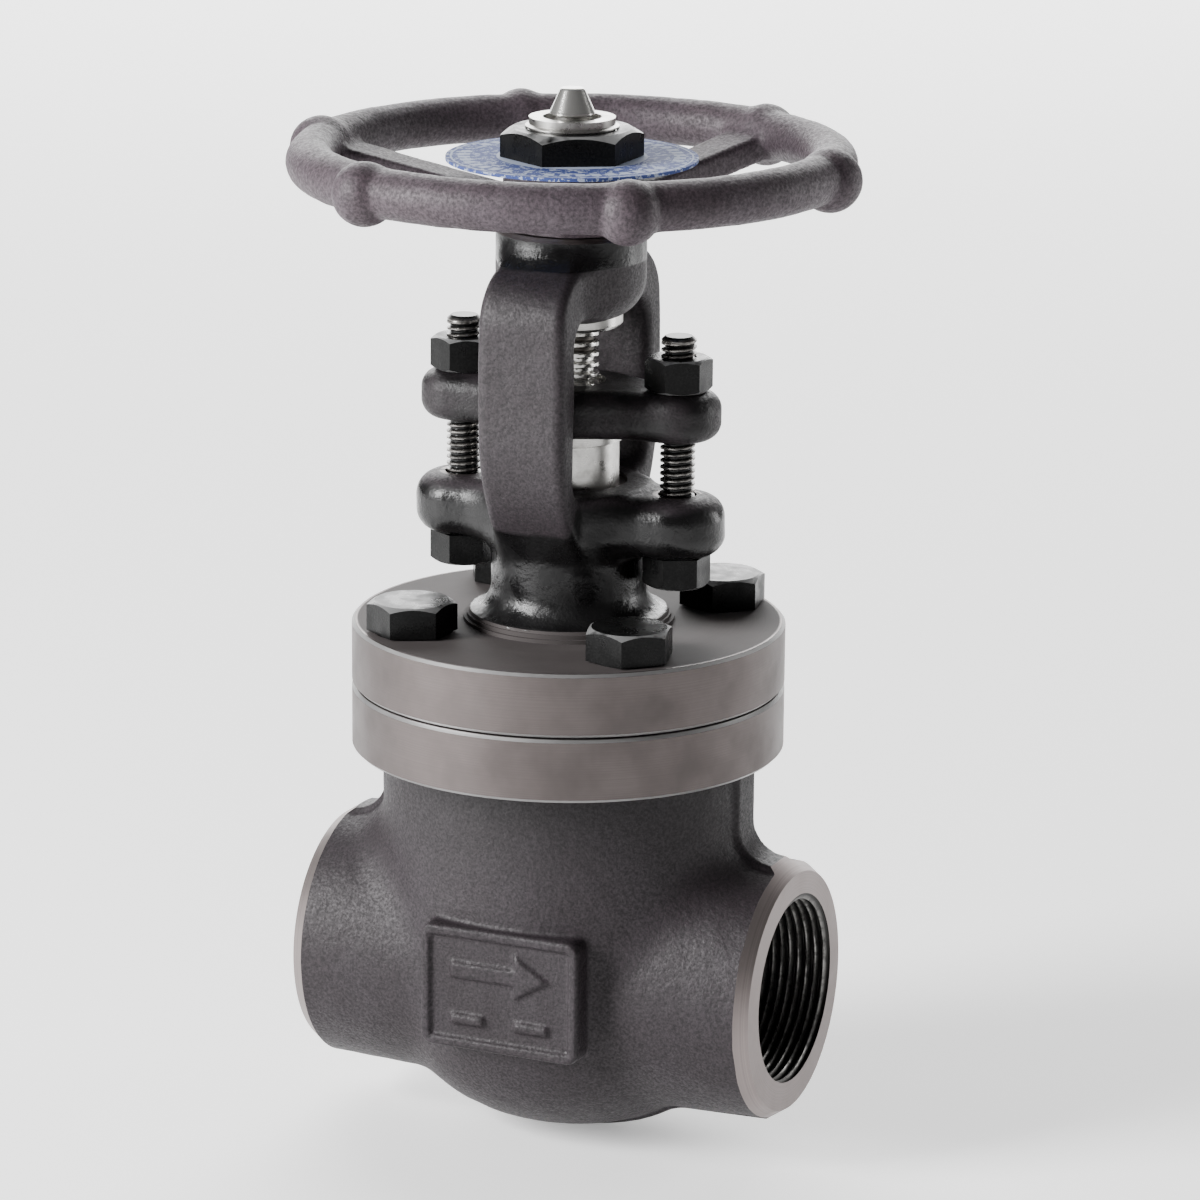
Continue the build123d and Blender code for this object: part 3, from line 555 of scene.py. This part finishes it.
def smooth_noise(x, y, z, size, seed):
    """Lattice noise from -1 to 1 whose features are about size across."""
    table = np.random.default_rng(seed).random((16, 16, 16), dtype=np.float32) * 2 - 1
    parts = []
    for value in (x, y, z):
        value = value / size
        cell = np.floor(value)
        t = value - cell
        parts.append((cell.astype(np.int64), t * t * (3 - 2 * t)))
    total = 0
    for i, j, k in product((0, 1), repeat=3):
        corner = table[tuple((cell + step) % 16 for (cell, _), step in zip(parts, (i, j, k)))]
        for (_, t), step in zip(parts, (i, j, k)):
            corner = corner * (t if step else 1 - t)
        total = total + corner
    return total


def hammered(x, y, z, seed):
    """Slight unevenness of a forged or cast surface: shallow dents and finer ones on them."""
    dents, grit = 0.09, 0.035
    coarse = dents * smooth_noise(x, y, z, size=5.0, seed=seed)
    return coarse + grit * smooth_noise(x, y, z, size=1.7, seed=seed + 1)


def is_closed(quads):
    """True if each edge belongs to exactly two quads."""
    pairs = np.sort(np.concatenate([quads[:, (i, (i + 1) % 4)] for i in range(4)]), axis=1)
    keys = pairs[:, 0] * (quads.max() + 1) + pairs[:, 1]
    return np.all(np.unique(keys, return_counts=True)[1] == 2)


def surface_net(field, lowest, highest, step, nudge):
    """Points and quads over the zero surface of a field, from a grid of cells step wide."""
    axes = [np.arange(a - nudge * step, b + 3 * step, step, dtype=np.float32)
            for a, b in zip(lowest, highest)]
    values = np.asarray(field(*np.meshgrid(*axes, indexing="ij", sparse=True)), dtype=np.float32)
    inside = values < 0
    count = sum(inside[tuple(slice(c, n - 1 + c) for c, n in zip(corner, inside.shape))].astype(np.int8)
                for corner in product((0, 1), repeat=3))
    mixed = (count > 0) & (count < 8)
    cells = np.argwhere(mixed)
    index = np.full(mixed.shape, -1, dtype=np.int64)
    index[mixed] = np.arange(len(cells))
    points = np.zeros((len(cells), 3))
    crossings = np.zeros(len(cells))
    faces = []
    for axis in range(3):
        u, v = (axis + 1) % 3, (axis + 2) % 3
        along = np.eye(3, dtype=np.int64)[axis]
        for du, dv in product((0, 1), repeat=2):
            start = cells + du * np.eye(3, dtype=np.int64)[u] + dv * np.eye(3, dtype=np.int64)[v]
            a = values[tuple(start.T)]
            b = values[tuple((start + along).T)]
            hit = (a < 0) != (b < 0)
            share = np.where(hit, a / np.where(hit, a - b, 1), 0)
            points[hit] += (start + share[:, None] * along)[hit]
            crossings += hit
        front = [slice(1, -1)] * 3
        front[axis] = slice(0, -1)
        back = list(front)
        back[axis] = slice(1, None)
        flip = inside[tuple(front)] != inside[tuple(back)]
        edges = np.argwhere(flip) + 1 - along
        quads = []
        for du, dv in ((1, 1), (0, 1), (0, 0), (1, 0)):
            shift = edges - du * np.eye(3, dtype=np.int64)[u] - dv * np.eye(3, dtype=np.int64)[v]
            quads.append(index[tuple(shift.T)])
        quads = np.stack(quads, axis=1)
        outward = inside[tuple(edges.T)]
        quads[~outward] = quads[~outward][:, ::-1]
        faces.append(quads)
    points = points / crossings[:, None] * step + [axis[0] for axis in axes]
    return settle(field, points, step), np.concatenate(faces)


def settle(field, points, step):
    """Moves points onto the zero surface along the field's slope."""
    reach, furthest, least_square = 0.25 * step, 0.6 * step, 0.2
    for _ in range(2):
        x, y, z = points.T
        slope = np.stack([
            field(x + reach, y, z) - field(x - reach, y, z),
            field(x, y + reach, z) - field(x, y - reach, z),
            field(x, y, z + reach) - field(x, y, z - reach),
        ], axis=1) / (2 * reach)
        square = np.maximum((slope ** 2).sum(1), least_square)
        move = np.clip(field(x, y, z) / square, -furthest, furthest)
        points = points - move[:, None] * slope
    return points


# ---- solids ---------------------------------------------------------------
SKIN, CUT, THREAD = 0, 1, 2


def set_kind(mesh, kind):
    """Makes one material slot for each kind of face, and puts every face in one of them."""
    for _ in (SKIN, CUT, THREAD):
        mesh.materials.append(None)
    mesh.polygons.foreach_set("material_index", np.full(len(mesh.polygons), kind, dtype=np.int32))


def solid(name, points, faces, kind=SKIN):
    """A closed mesh from points in millimetres, whose faces are all of one kind."""
    mesh = bpy.data.meshes.new(name)
    points = np.asarray(points, dtype=np.float64) * MM
    if isinstance(faces, np.ndarray):
        mesh.vertices.add(len(points))
        mesh.vertices.foreach_set("co", points.astype(np.float32).ravel())
        mesh.loops.add(faces.size)
        mesh.loops.foreach_set("vertex_index", faces.astype(np.int32).ravel())
        mesh.polygons.add(len(faces))
        mesh.polygons.foreach_set("loop_start", np.arange(0, faces.size, 4, dtype=np.int32))
        mesh.update(calc_edges=True)
    else:
        mesh.from_pydata(points.tolist(), [], faces)
        mesh.update()
    set_kind(mesh, kind)
    return add_object(name, mesh)


def forged(field, lowest, highest, step):
    """Solid inside a field. The grid moves a little until its surface comes out closed."""
    for nudge in GRID_NUDGES:
        points, quads = surface_net(field, lowest, highest, step, nudge)
        if is_closed(quads):
            break
    return solid("forging", points, quads)


def rod(rows):
    """Closed solid about Z from (z, radius) rows, lowest first: a thread of no depth."""
    rows = [(z, r, 0.0) for z, r in rows]
    return threaded_rod(rows, 1.0, RIGHT_HAND, columns=96, crest=0.2, root=0.2, kind=CUT)


def cylinder(start, end, radius):
    """Closed cylinder about Z."""
    return rod([(start, radius), (end, radius)])


def threaded_rod(rows, pitch, hand, columns, crest, root, kind=THREAD):
    """Closed solid about Z from rows like those of threaded_rings."""
    points = threaded_rings(rows, pitch, hand, columns, crest, root)
    faces = grid_faces(len(rows), columns)
    faces.append(tuple(reversed(range(columns))))
    faces.append(tuple(range((len(rows) - 1) * columns, len(rows) * columns)))
    return solid("rod", points, faces, kind)


def moved(piece, matrix):
    """The piece, with its mesh turned and shifted."""
    piece.data.transform(matrix)
    return piece


# ALONG_X turns Z to X. HALF_TURN, about Z, takes what is at the outlet to the inlet.
ALONG_X = Matrix(((0, 0, 1, 0), (1, 0, 0, 0), (0, 1, 0, 0), (0, 0, 0, 1)))
HALF_TURN = Matrix.Rotation(math.pi, 4, "Z")


def at_ears(make):
    """What make returns, once over each ear."""
    return [moved(make(), Matrix.Translation((side * EAR_X * MM, 0, 0))) for side in (-1, 1)]


def ring(outline):
    """Closed ring about Z from (z, radius) corners, taken clockwise with z to the right."""
    columns = 160
    points = []
    for z, r in outline:
        for k in range(columns):
            points.append((r * math.cos(TAU * k / columns), r * math.sin(TAU * k / columns), z))
    return solid("ring", points, grid_faces(len(outline), columns, True), CUT)


def cad_copy(node):
    """A closed copy of a CAD node's mesh, with its split edges joined again."""
    mesh = NODES[node].data.copy()
    work = bmesh.new()
    work.from_mesh(mesh)
    bmesh.ops.remove_doubles(work, verts=work.verts, dist=1e-7)
    work.to_mesh(mesh)
    work.free()
    mesh.materials.clear()
    set_kind(mesh, CUT)
    return add_object(node + "_copy", mesh)


def combine(base, operation, *others):
    """Boolean of base with each other solid in turn. The others are used up."""
    for other in others:
        modifier = base.modifiers.new("boolean", "BOOLEAN")
        modifier.operation = operation
        modifier.solver = "MANIFOLD"
        modifier.object = other
    mesh = bpy.data.meshes.new_from_object(base.evaluated_get(bpy.context.evaluated_depsgraph_get()))
    base.modifiers.clear()
    old = base.data
    base.data = mesh
    bpy.data.meshes.remove(old)
    for other in others:
        unused = other.data
        bpy.data.objects.remove(other)
        bpy.data.meshes.remove(unused)
    return base


def hollows(node, *core):
    """Every bore and chamber that a CAD node has inside the core solids."""
    whole = core[0] if len(core) == 1 else combine(core[0], "UNION", *core[1:])
    return combine(whole, "DIFFERENCE", cad_copy(node))


def dress(piece, name, materials, body, node):
    """Finishes a visible piece: crisp machined edges, soft forged ones, and its place in the frame."""
    piece.name = name
    mesh = piece.data
    mesh.name = name
    mesh.polygons.foreach_set("use_smooth", [True] * len(mesh.polygons))
    work = bmesh.new()
    work.from_mesh(mesh)
    for edge in work.edges:
        if len(edge.link_faces) == 2:
            kinds = {face.material_index for face in edge.link_faces}
            limit = SOFT_ANGLE if kinds == {SKIN} else CRISP_ANGLE
            edge.smooth = edge.calc_face_angle(0.0) < limit and len(kinds) == 1
    work.to_mesh(mesh)
    work.free()
    for i, material in enumerate(materials):
        mesh.materials[i] = material
    put_in_frame(piece, body, node)


# ---- forged body ----------------------------------------------------------
def fillet_union(a, b, cosine, r):
    """Union of two fields whose slopes meet at a known angle, with a true fillet of radius r."""
    cosine = np.clip(cosine, -0.5, 0.98)
    u, v = a - r, b - r
    away = np.sqrt(np.maximum(u * u + v * v - 2 * cosine * u * v, 0) / (1 - cosine ** 2))
    between = (u < cosine * v) & (v < cosine * u)
    return np.where(between, r - away, np.minimum(a, b))


def barrel_field(x, y, z):
    """Upright barrel of oval section, rounded off below like a bowl, and its unit slope."""
    n, least_slope = BARREL_FULLNESS, 0.008
    across = np.sqrt((x / BARREL_X) ** 2 + (y / BARREL_Y) ** 2) + TINY
    down = np.maximum(BOWL_Z - z, 0) / BOWL_DEPTH
    level = (across ** n + down ** n) ** (1 / n)
    side = (across / level) ** (n - 1) / across
    below = -(down / level) ** (n - 1) / BOWL_DEPTH
    slope = [side * x / BARREL_X ** 2, side * y / BARREL_Y ** 2, below]
    size = np.maximum(np.sqrt(slope[0] ** 2 + slope[1] ** 2 + slope[2] ** 2), least_slope)
    return (level - 1) / size, [part / size for part in slope]


def forging_field(x, y, z):
    """Barrel and hubs, with tighter fillets above and under the hubs than at their sides."""
    barrel, slope = barrel_field(x, y, z)
    out = np.hypot(y, z) + TINY
    hub = out - HUB_ROOT_R + HUB_DRAFT * np.abs(x)
    cosine = (slope[1] * y + slope[2] * z) / out + slope[0] * np.sign(x) * HUB_DRAFT
    tighter = np.where(z > 0, HUB_FILLET - HUB_TOP_FILLET, HUB_FILLET - HUB_LOW_FILLET)
    return fillet_union(barrel, hub, cosine, HUB_FILLET - tighter * (z / out) ** 2)


def arrow_field(u, v):
    """Flat field of the arrow that points along the flow."""
    shaft_middle, shaft_half, shaft_w = -4, 9, 4
    tip, head_length, head_half = 13, 9, 5.5
    shaft = np.maximum(np.abs(u - shaft_middle) - shaft_half, np.abs(v) - shaft_w / 2)
    sides = (head_half * (u - tip) + head_length * np.abs(v)) / math.hypot(head_half, head_length)
    return np.minimum(shaft, np.maximum(sides, tip - head_length - u))


def panel_field(x, y, z):
    """Raised panel on the front: a border, an arrow and two bars stand up from it."""
    border_w, arrow_up, bars_down, bar_at, bevel_w = 2.6, 4.5, 8, 8.5, 0.9
    u, v = x, z - PANEL_Z
    edge = rounded_box(u, v, PANEL_W / 2, PANEL_H / 2, r=3.0)
    border = np.abs(edge + border_w / 2) - border_w / 2
    bars = rounded_box(np.abs(u) - bar_at, v + bars_down, half_u=4.5, half_v=1.2, r=0.5)
    marks = np.minimum(np.minimum(border, arrow_field(u, v - arrow_up)), bars)
    relief = PANEL_RELIEF * np.clip(0.5 - marks / bevel_w, 0, 1)
    plate = soft_cut(edge, -y - PANEL_FACE - relief, r=0.6)
    return np.maximum(plate, y + PANEL_ROOT)


def body_field(x, y, z):
    """The whole forging below the flange. It runs on a little past its ends and its top."""
    rough_end, rough_top = 62.5, 60
    shape = forging_field(x, y, z)
    land = soft_cut(forging_field(x, 0 * y, z) - LAND_PROUD, np.abs(y) - LAND_HALF, r=0.6)
    shape = soft_union(shape, land, r=1.6)
    under_flange = soft_cut(np.hypot(x, y) - UNDER_FLANGE_R, UNDER_FLANGE_LOW - z, r=0.5)
    shape = soft_union(shape, under_flange, r=3.5)
    shape = soft_union(shape, panel_field(x, y, z), r=1.0)
    shape = np.maximum(shape, np.abs(x) - rough_end)
    return np.maximum(shape, z - rough_top) + hammered(x, y, z, seed=3)


def thread_plug():
    """Cutter for one socket: tapered pipe thread with a bevelled inner end, along +X."""
    mouth = PIPE_END / MM
    start, end, run_in = mouth - 22.6, mouth + 1.0, 2
    rows = [(mouth - 24.0, PIPE_R - 2.2, 0.0), (mouth - 23.4, PIPE_R - 1.6, 0.0)]
    count = PIPE_THREAD_TURNS * PIPE_THREAD_STEPS
    for i in range(count + 1):
        x = start + (end - start) * i / count
        depth = PIPE_THREAD_DEPTH * min(1.0, (x - start) / run_in)
        rows.append((x, PIPE_R - (mouth - x) * PIPE_TAPER, depth))
    plug = threaded_rod(rows, PIPE_PITCH, RIGHT_HAND, columns=120, crest=0.16, root=0.16)
    return moved(plug, ALONG_X)


def hub_end_cutter():
    """Trims one hub to its flat end and its long chamfer, along +X."""
    end = PIPE_END / MM
    beyond, inside = end + 4, HUB_FACE_R - 8
    back = end - (HUB_CHAMFER_R - HUB_FACE_R) / HUB_CHAMFER_SLOPE
    outline = [(end, HUB_FACE_R), (back, HUB_CHAMFER_R), (beyond, HUB_CHAMFER_R)]
    outline += [(beyond, inside), (end, inside)]
    return moved(ring(outline), ALONG_X)


def end_cutter():
    """Everything beyond the hub's end, along +X."""
    end = PIPE_END / MM
    return moved(cylinder(end, end + 8, radius=45), ALONG_X)


def body_piece(skin, cut, thread):
    """The forged body with its CAD flange, hollows and real pipe threads."""
    shape = forged(body_field, lowest=(-64, -51, -44), highest=(64, 51, 61), step=BODY_STEP)
    # The core holds the chamber and the passages, and stays inside the forging.
    core = [cylinder(0, 58, radius=33), moved(cylinder(-37.5, 37.5, radius=31.2), ALONG_X),
            moved(cylinder(-16, 16, radius=34.5), ALONG_X)]
    combine(shape, "DIFFERENCE", hollows("body", *core))
    for cutter in (hub_end_cutter, end_cutter, thread_plug):
        combine(shape, "DIFFERENCE", cutter(), moved(cutter(), HALF_TURN))
    flange = combine(cad_copy("body"), "INTERSECT", cylinder(FLANGE_CUT_Z, 80, radius=60))
    combine(shape, "UNION", flange)
    dress(shape, "body_forging", (skin, cut, thread), "shell", "body")


# ---- forged bonnet --------------------------------------------------------
def ears_field(x, y, z, radius, mid_radius, middle, half, rounding):
    """Flat two-eared shape round the stem, with its edges rounded."""
    across = np.hypot(np.maximum(np.abs(x) - EAR_X, 0), y) - radius
    outline = soft_union(across, np.hypot(x, y) - mid_radius, r=6.0)
    return soft_cut(outline, np.abs(z - middle) - half, rounding)


def beside_line(u, v, start, along):
    """Distance from a line, positive on the right of its direction."""
    return ((u - start[0]) * along[1] - (v - start[1]) * along[0]) / math.hypot(*along)


def arms_field(x, y, z):
    """The yoke's two arms, seen along X as a rounded frame round its window."""
    waist, waist_period = 0.4, 60
    out = np.abs(y)
    foot = beside_line(out, z, start=(15.0, 104.5), along=(15.0, 14.5))
    shoulder = beside_line(out, z, start=(18.2, 177.6), along=(-11.8, 2.6))
    outline = soft_cut(soft_cut(out - ARM_OUT, foot, r=13.0), shoulder, r=11.0)
    window = rounded_box(y, z - WINDOW_Z, half_u=21.5, half_v=21.95, r=7.0)
    outline = np.maximum(outline, -window)
    side = np.abs(x) - ARM_W / 2 + waist * np.cos(z * math.pi / waist_period) ** 2
    return soft_cut(outline, side, r=2.6)


def bonnet_field(x, y, z):
    """The whole forging above the flange. It runs on a little past its top and its foot."""
    rough_low, rough_top = 86, 186
    radius = np.hypot(x, y)
    boss = soft_cut(radius - BOSS_SKIN_R, z - BOSS_TOP, r=0.3)
    neck = np.maximum(soft_union(boss, radius - NECK_R, r=6.5), z - NECK_TOP)
    ears = ears_field(x, y, z, EAR_R, mid_radius=20.0, middle=113.9, half=7.4, rounding=5.6)
    shape = soft_union(neck, ears, r=3.0)
    shape = soft_union(shape, arms_field(x, y, z), r=3.0)
    hub = soft_cut(radius - YOKE_HUB_R, YOKE_HUB_LOW - z, r=9.0)
    shape = soft_union(shape, hub, r=5.5)
    shape = np.maximum(np.maximum(shape, z - rough_top), rough_low - z)
    return shape + hammered(x, y, z, seed=7)


def hub_chamfer():
    """Cutter for the bevel round the top of the yoke's hub."""
    top, r, bevel = YOKE_HUB_TOP, YOKE_HUB_R, 1.0
    below, beyond = top - bevel - 1, r + 3
    slant = [(top + 1, r - bevel - 1), (top - bevel, r), (below, r + 1)]
    return ring(slant + [(below, beyond), (top + 1, beyond)])


def bonnet_piece(skin, cut):
    """The forged bonnet and yoke, with the CAD flange and hollows."""
    shape = forged(bonnet_field, lowest=(-42, -32, 86), highest=(42, 32, 187), step=BONNET_STEP)
    above_hub = cylinder(YOKE_HUB_TOP, YOKE_HUB_TOP + 9, radius=40)
    combine(shape, "DIFFERENCE", above_hub, hub_chamfer())
    # The core holds the stuffing box, the sleeve's bore and the bolt holes in the ears.
    core = [cylinder(85.5, 125, radius=14), cylinder(160, 186, radius=13.5)]
    core += at_ears(lambda: cylinder(100, 128, radius=6))
    combine(shape, "DIFFERENCE", hollows("bonnet", *core))
    # The CAD bonnet is kept up to its flange's top, and above that as a stepped ring.
    low_step, high_step, ring_top = 88.3, 89.3, 89.98
    outer, inner = BOSS_SKIN_R + 2 * BOSS_STEP, BOSS_SKIN_R + BOSS_STEP
    outline = [(40, 60), (BONNET_FLANGE_TOP, 60), (BONNET_FLANGE_TOP, outer), (low_step, outer)]
    outline += [(low_step, inner), (high_step, inner)]
    outline += [(high_step, BOSS_SKIN_R + 0.3), (ring_top, BOSS_SKIN_R)]
    flange = combine(cad_copy("bonnet"), "INTERSECT", rod(outline))
    combine(shape, "UNION", flange)
    dress(shape, "bonnet_forging", (skin, cut, cut), "shell", "bonnet")


# ---- gland bolts, gland flange and handwheel ------------------------------
def gland_bolts_piece(head, thread):
    """Two bolts with black heads under the ears and thread all the way up from them."""
    shape = combine(cad_copy("gland_bolts"), "INTERSECT", cylinder(90, BOLT_HEAD_CUT, radius=60))
    end = high("gland_bolts").z / MM
    # The studs start 1 mm inside the heads, so that the two join.
    rows = thread_rows(BOLT_HEAD_CUT - 1, end - 0.9, BOLT_R, BOLT_THREAD_DEPTH, BOLT_PITCH, steps=10)
    rows.append((end, BOLT_R - 1.0, 0.0))
    profile = {"columns": 48, "crest": 0.3, "root": 0.3}
    for stud in at_ears(lambda: threaded_rod(rows, BOLT_PITCH, RIGHT_HAND, **profile)):
        combine(shape, "UNION", stud)
    dress(shape, "gland_bolts_threaded", (head, head, thread), "shell", "gland_bolts")


def gland_flange_field(x, y, z):
    """Two-eared flange, smoother than the large forgings."""
    unevenness = 0.6
    shape = ears_field(x, y, z, GLAND_EAR_R, mid_radius=16.0, middle=GLAND_Z, half=5.95, rounding=4.4)
    return shape + unevenness * hammered(x, y, z, seed=11)


def gland_flange_piece(skin, cut):
    """The gland flange with its CAD holes."""
    below, above, half = GLAND_Z - 8, GLAND_Z + 8, 6.5
    lowest, highest = (-40, -17, GLAND_Z - half), (40, 17, GLAND_Z + half)
    shape = forged(gland_flange_field, lowest, highest, step=GLAND_STEP)
    core = [cylinder(below, above, radius=10)]
    core += at_ears(lambda: cylinder(below, above, radius=6))
    combine(shape, "DIFFERENCE", hollows("gland_flange", *core))
    dress(shape, "gland_flange_forging", (skin, cut, cut), "shell", "gland_flange")


def nearest(angle, phase, count):
    """Angle from the nearest of count evenly spaced directions."""
    part = TAU / count
    return (angle - math.radians(phase) + part / 2) % part - part / 2


def wheel_field(x, y, z):
    """Rim, knobs, spokes that climb and widen towards their ends, and the hub."""
    spoke_start, spoke_end, foot_out, foot_z, tilt_cosine = 6, 63, 13, 188.35, 0.98
    waist_out, waist_half, flare = 38, 5.6, 0.0016
    radius, angle = np.hypot(x, y), np.arctan2(y, x)
    rim = np.hypot(radius - RIM_R, z - RIM_Z) - RIM_TUBE_R
    turn = nearest(angle, KNOB_PHASE, KNOBS)
    knob = np.hypot(radius * np.cos(turn) - KNOB_AT_R, radius * np.sin(turn))
    knob = np.hypot(knob, z - RIM_Z + KNOB_DROP) - KNOB_R
    turn = nearest(angle, SPOKE_PHASE, SPOKES)
    out, side = radius * np.cos(turn), radius * np.sin(turn)
    middle = foot_z + SPOKE_SLOPE * (out - foot_out)
    half_w = waist_half + flare * (out - waist_out) ** 2
    flat = (np.abs(z - middle) - SPOKE_HALF) * tilt_cosine
    spoke = soft_cut(np.abs(side) - half_w, flat, r=1.3)
    spoke = np.maximum(np.maximum(spoke, out - spoke_end), spoke_start - out)
    hub = soft_cut(radius - WHEEL_HUB_R, np.abs(z - WHEEL_HUB_Z) - WHEEL_HUB_HALF, r=1.0)
    shape = soft_union(rim, knob, r=0.7)
    shape = soft_union(shape, spoke, r=2.0)
    return soft_union(shape, hub, r=2.5) + hammered(x, y, z, seed=5)


def wheel_piece(skin, cut):
    """The cast handwheel with its CAD hexagon hole, faced off at both ends of its hub."""
    shape = forged(wheel_field, lowest=(-73, -73, 180), highest=(73, 73, 209), step=WHEEL_STEP)
    below, above = WHEEL_LOW / MM, WHEEL_HUB_TOP
    under_hub, over_hub = cylinder(below - 9, below, radius=40), cylinder(above, above + 9, radius=30)
    combine(shape, "DIFFERENCE", under_hub, over_hub)
    combine(shape, "DIFFERENCE", hollows("handwheel", cylinder(below - 1, above + 1, radius=14)))
    dress(shape, "handwheel_casting", (skin, cut, cut), "wheel", "handwheel")


# ---- build ----------------------------------------------------------------
# Painted shade darkens the body from 30 mm up towards the underside of the flange.
body_skin = skin_material("body_skin", painted_shade_heights=(30 * MM, 62 * MM))
bonnet_skin = bonnet_skin_material()
small_skin = skin_material("small_skin", dark=0.006, light=0.016, grain=0.6 * MM, oiled=0.4)
wheel_skin = skin_material("wheel_skin", dark=0.026, light=0.064, grain=0.8 * MM)
machined = machined_material()
black = black_oxide_material()
steel = steel_material("turned_steel")
trim = steel_material("ground_trim", value=0.6, rough=0.18, dirt=0.1)
graphite = graphite_material()
plate = plate_material()

FINISHES = {
    "bonnet_bolts": black, "gland_nuts": black, "handwheel_nut": black,
    "gland": steel, "yoke_sleeve": steel, "sleeve_thrust_washer": steel, "backseat_bushing": steel,
    "disc": trim, "seat_ring": trim, "disc_nut": steel, "gasket_inner_ring": steel,
    "gasket_outer_ring": steel, "gasket_winding": graphite, "packing_bottom_ring": graphite,
    "packing_core_rings": graphite, "packing_top_ring": graphite, "name_plate": plate,
}
for node, material in FINISHES.items():
    for slot in NODES[node].material_slots:
        slot.material = material

body_piece(body_skin, machined, pipe_thread_material())
bonnet_piece(bonnet_skin, machined)
gland_bolts_piece(black, gland_bolt_material())
gland_flange_piece(small_skin, steel)
wheel_piece(wheel_skin, machined)
stem_piece(stem_material())

# ---- camera, lights and floor ---------------------------------------------
AZIMUTH = math.radians(23.85)
ELEVATION = math.radians(14.86)
DISTANCE = 1.288
ROLL = math.radians(0.5)
LENS = 158.2
SENSOR_W = 36
AIM_Z = 91.7 * MM
AIM_RIGHT = 7.6 * MM
LIGHT_AIM = Vector((0, 0, 0.1))
WORLD_STRENGTH = 0.14
FLOOR_HALF = 30.0
FLOOR_GAP = 0.2 * MM


def make_camera():
    """The camera. Returns the directions to its right and back from the object to it."""
    back = Vector((math.sin(AZIMUTH) * math.cos(ELEVATION), -math.cos(AZIMUTH) * math.cos(ELEVATION),
                   math.sin(ELEVATION)))
    right = Vector((math.cos(AZIMUTH), math.sin(AZIMUTH), 0))
    aim = Vector((0, 0, AIM_Z)) + right * AIM_RIGHT
    data = bpy.data.cameras.new("camera")
    data.lens = LENS
    data.sensor_width = SENSOR_W
    camera = add_object("camera", data)
    right = right * math.cos(ROLL) + back.cross(right) * math.sin(ROLL)
    turn = Matrix((right, back.cross(right), back)).transposed()
    camera.matrix_world = Matrix.Translation(aim + back * DISTANCE) @ turn.to_4x4()
    bpy.context.scene.camera = camera
    return right, back


def make_light(name, place, size, power):
    """A white area light that faces the middle of the object."""
    data = bpy.data.lights.new(name, "AREA")
    data.shape = "RECTANGLE"
    data.size, data.size_y = size
    data.energy = power
    light = add_object(name, data)
    light.location = place
    light.rotation_mode = "QUATERNION"
    light.rotation_quaternion = (place - LIGHT_AIM).to_track_quat("Z", "Y")


def make_floor():
    """Pale floor just under the object. It glows a little, so that it is pale far away too."""
    r, z = FLOOR_HALF, CAD_BOX[0].z - FLOOR_GAP
    mesh = bpy.data.meshes.new("floor")
    mesh.from_pydata([(-r, -r, z), (r, -r, z), (r, r, z), (-r, r, z)], [], [(0, 1, 2, 3)])
    paint = Paint("pale_floor", Roughness=0.7, Emission_Color=(1, 1, 1, 1), Emission_Strength=0.35)
    mesh.materials.append(paint.use(paint.mix(paint.noise(0.4), grey(0.90), grey(0.93))))
    add_object("floor", mesh)


right, back = make_camera()
make_light("key_left", back * 0.5 - right * 1.2 + Vector((0, 0, 0.5)), size=(0.5, 0.8), power=62)
make_light("rim_right", right * 1.1 - back * 0.35 + Vector((0, 0, 0.3)), size=(0.3, 0.9), power=7)
make_light("wash", Vector((0, 0, 1.7)) - back * 2.2, size=(2.4, 2.0), power=120)
make_floor()

world = bpy.data.worlds.new("world")
bpy.context.scene.world = world
world.use_nodes = True
background = world.node_tree.nodes["Background"]
background.inputs["Color"].default_value = (1, 1, 1, 1)
background.inputs["Strength"].default_value = WORLD_STRENGTH
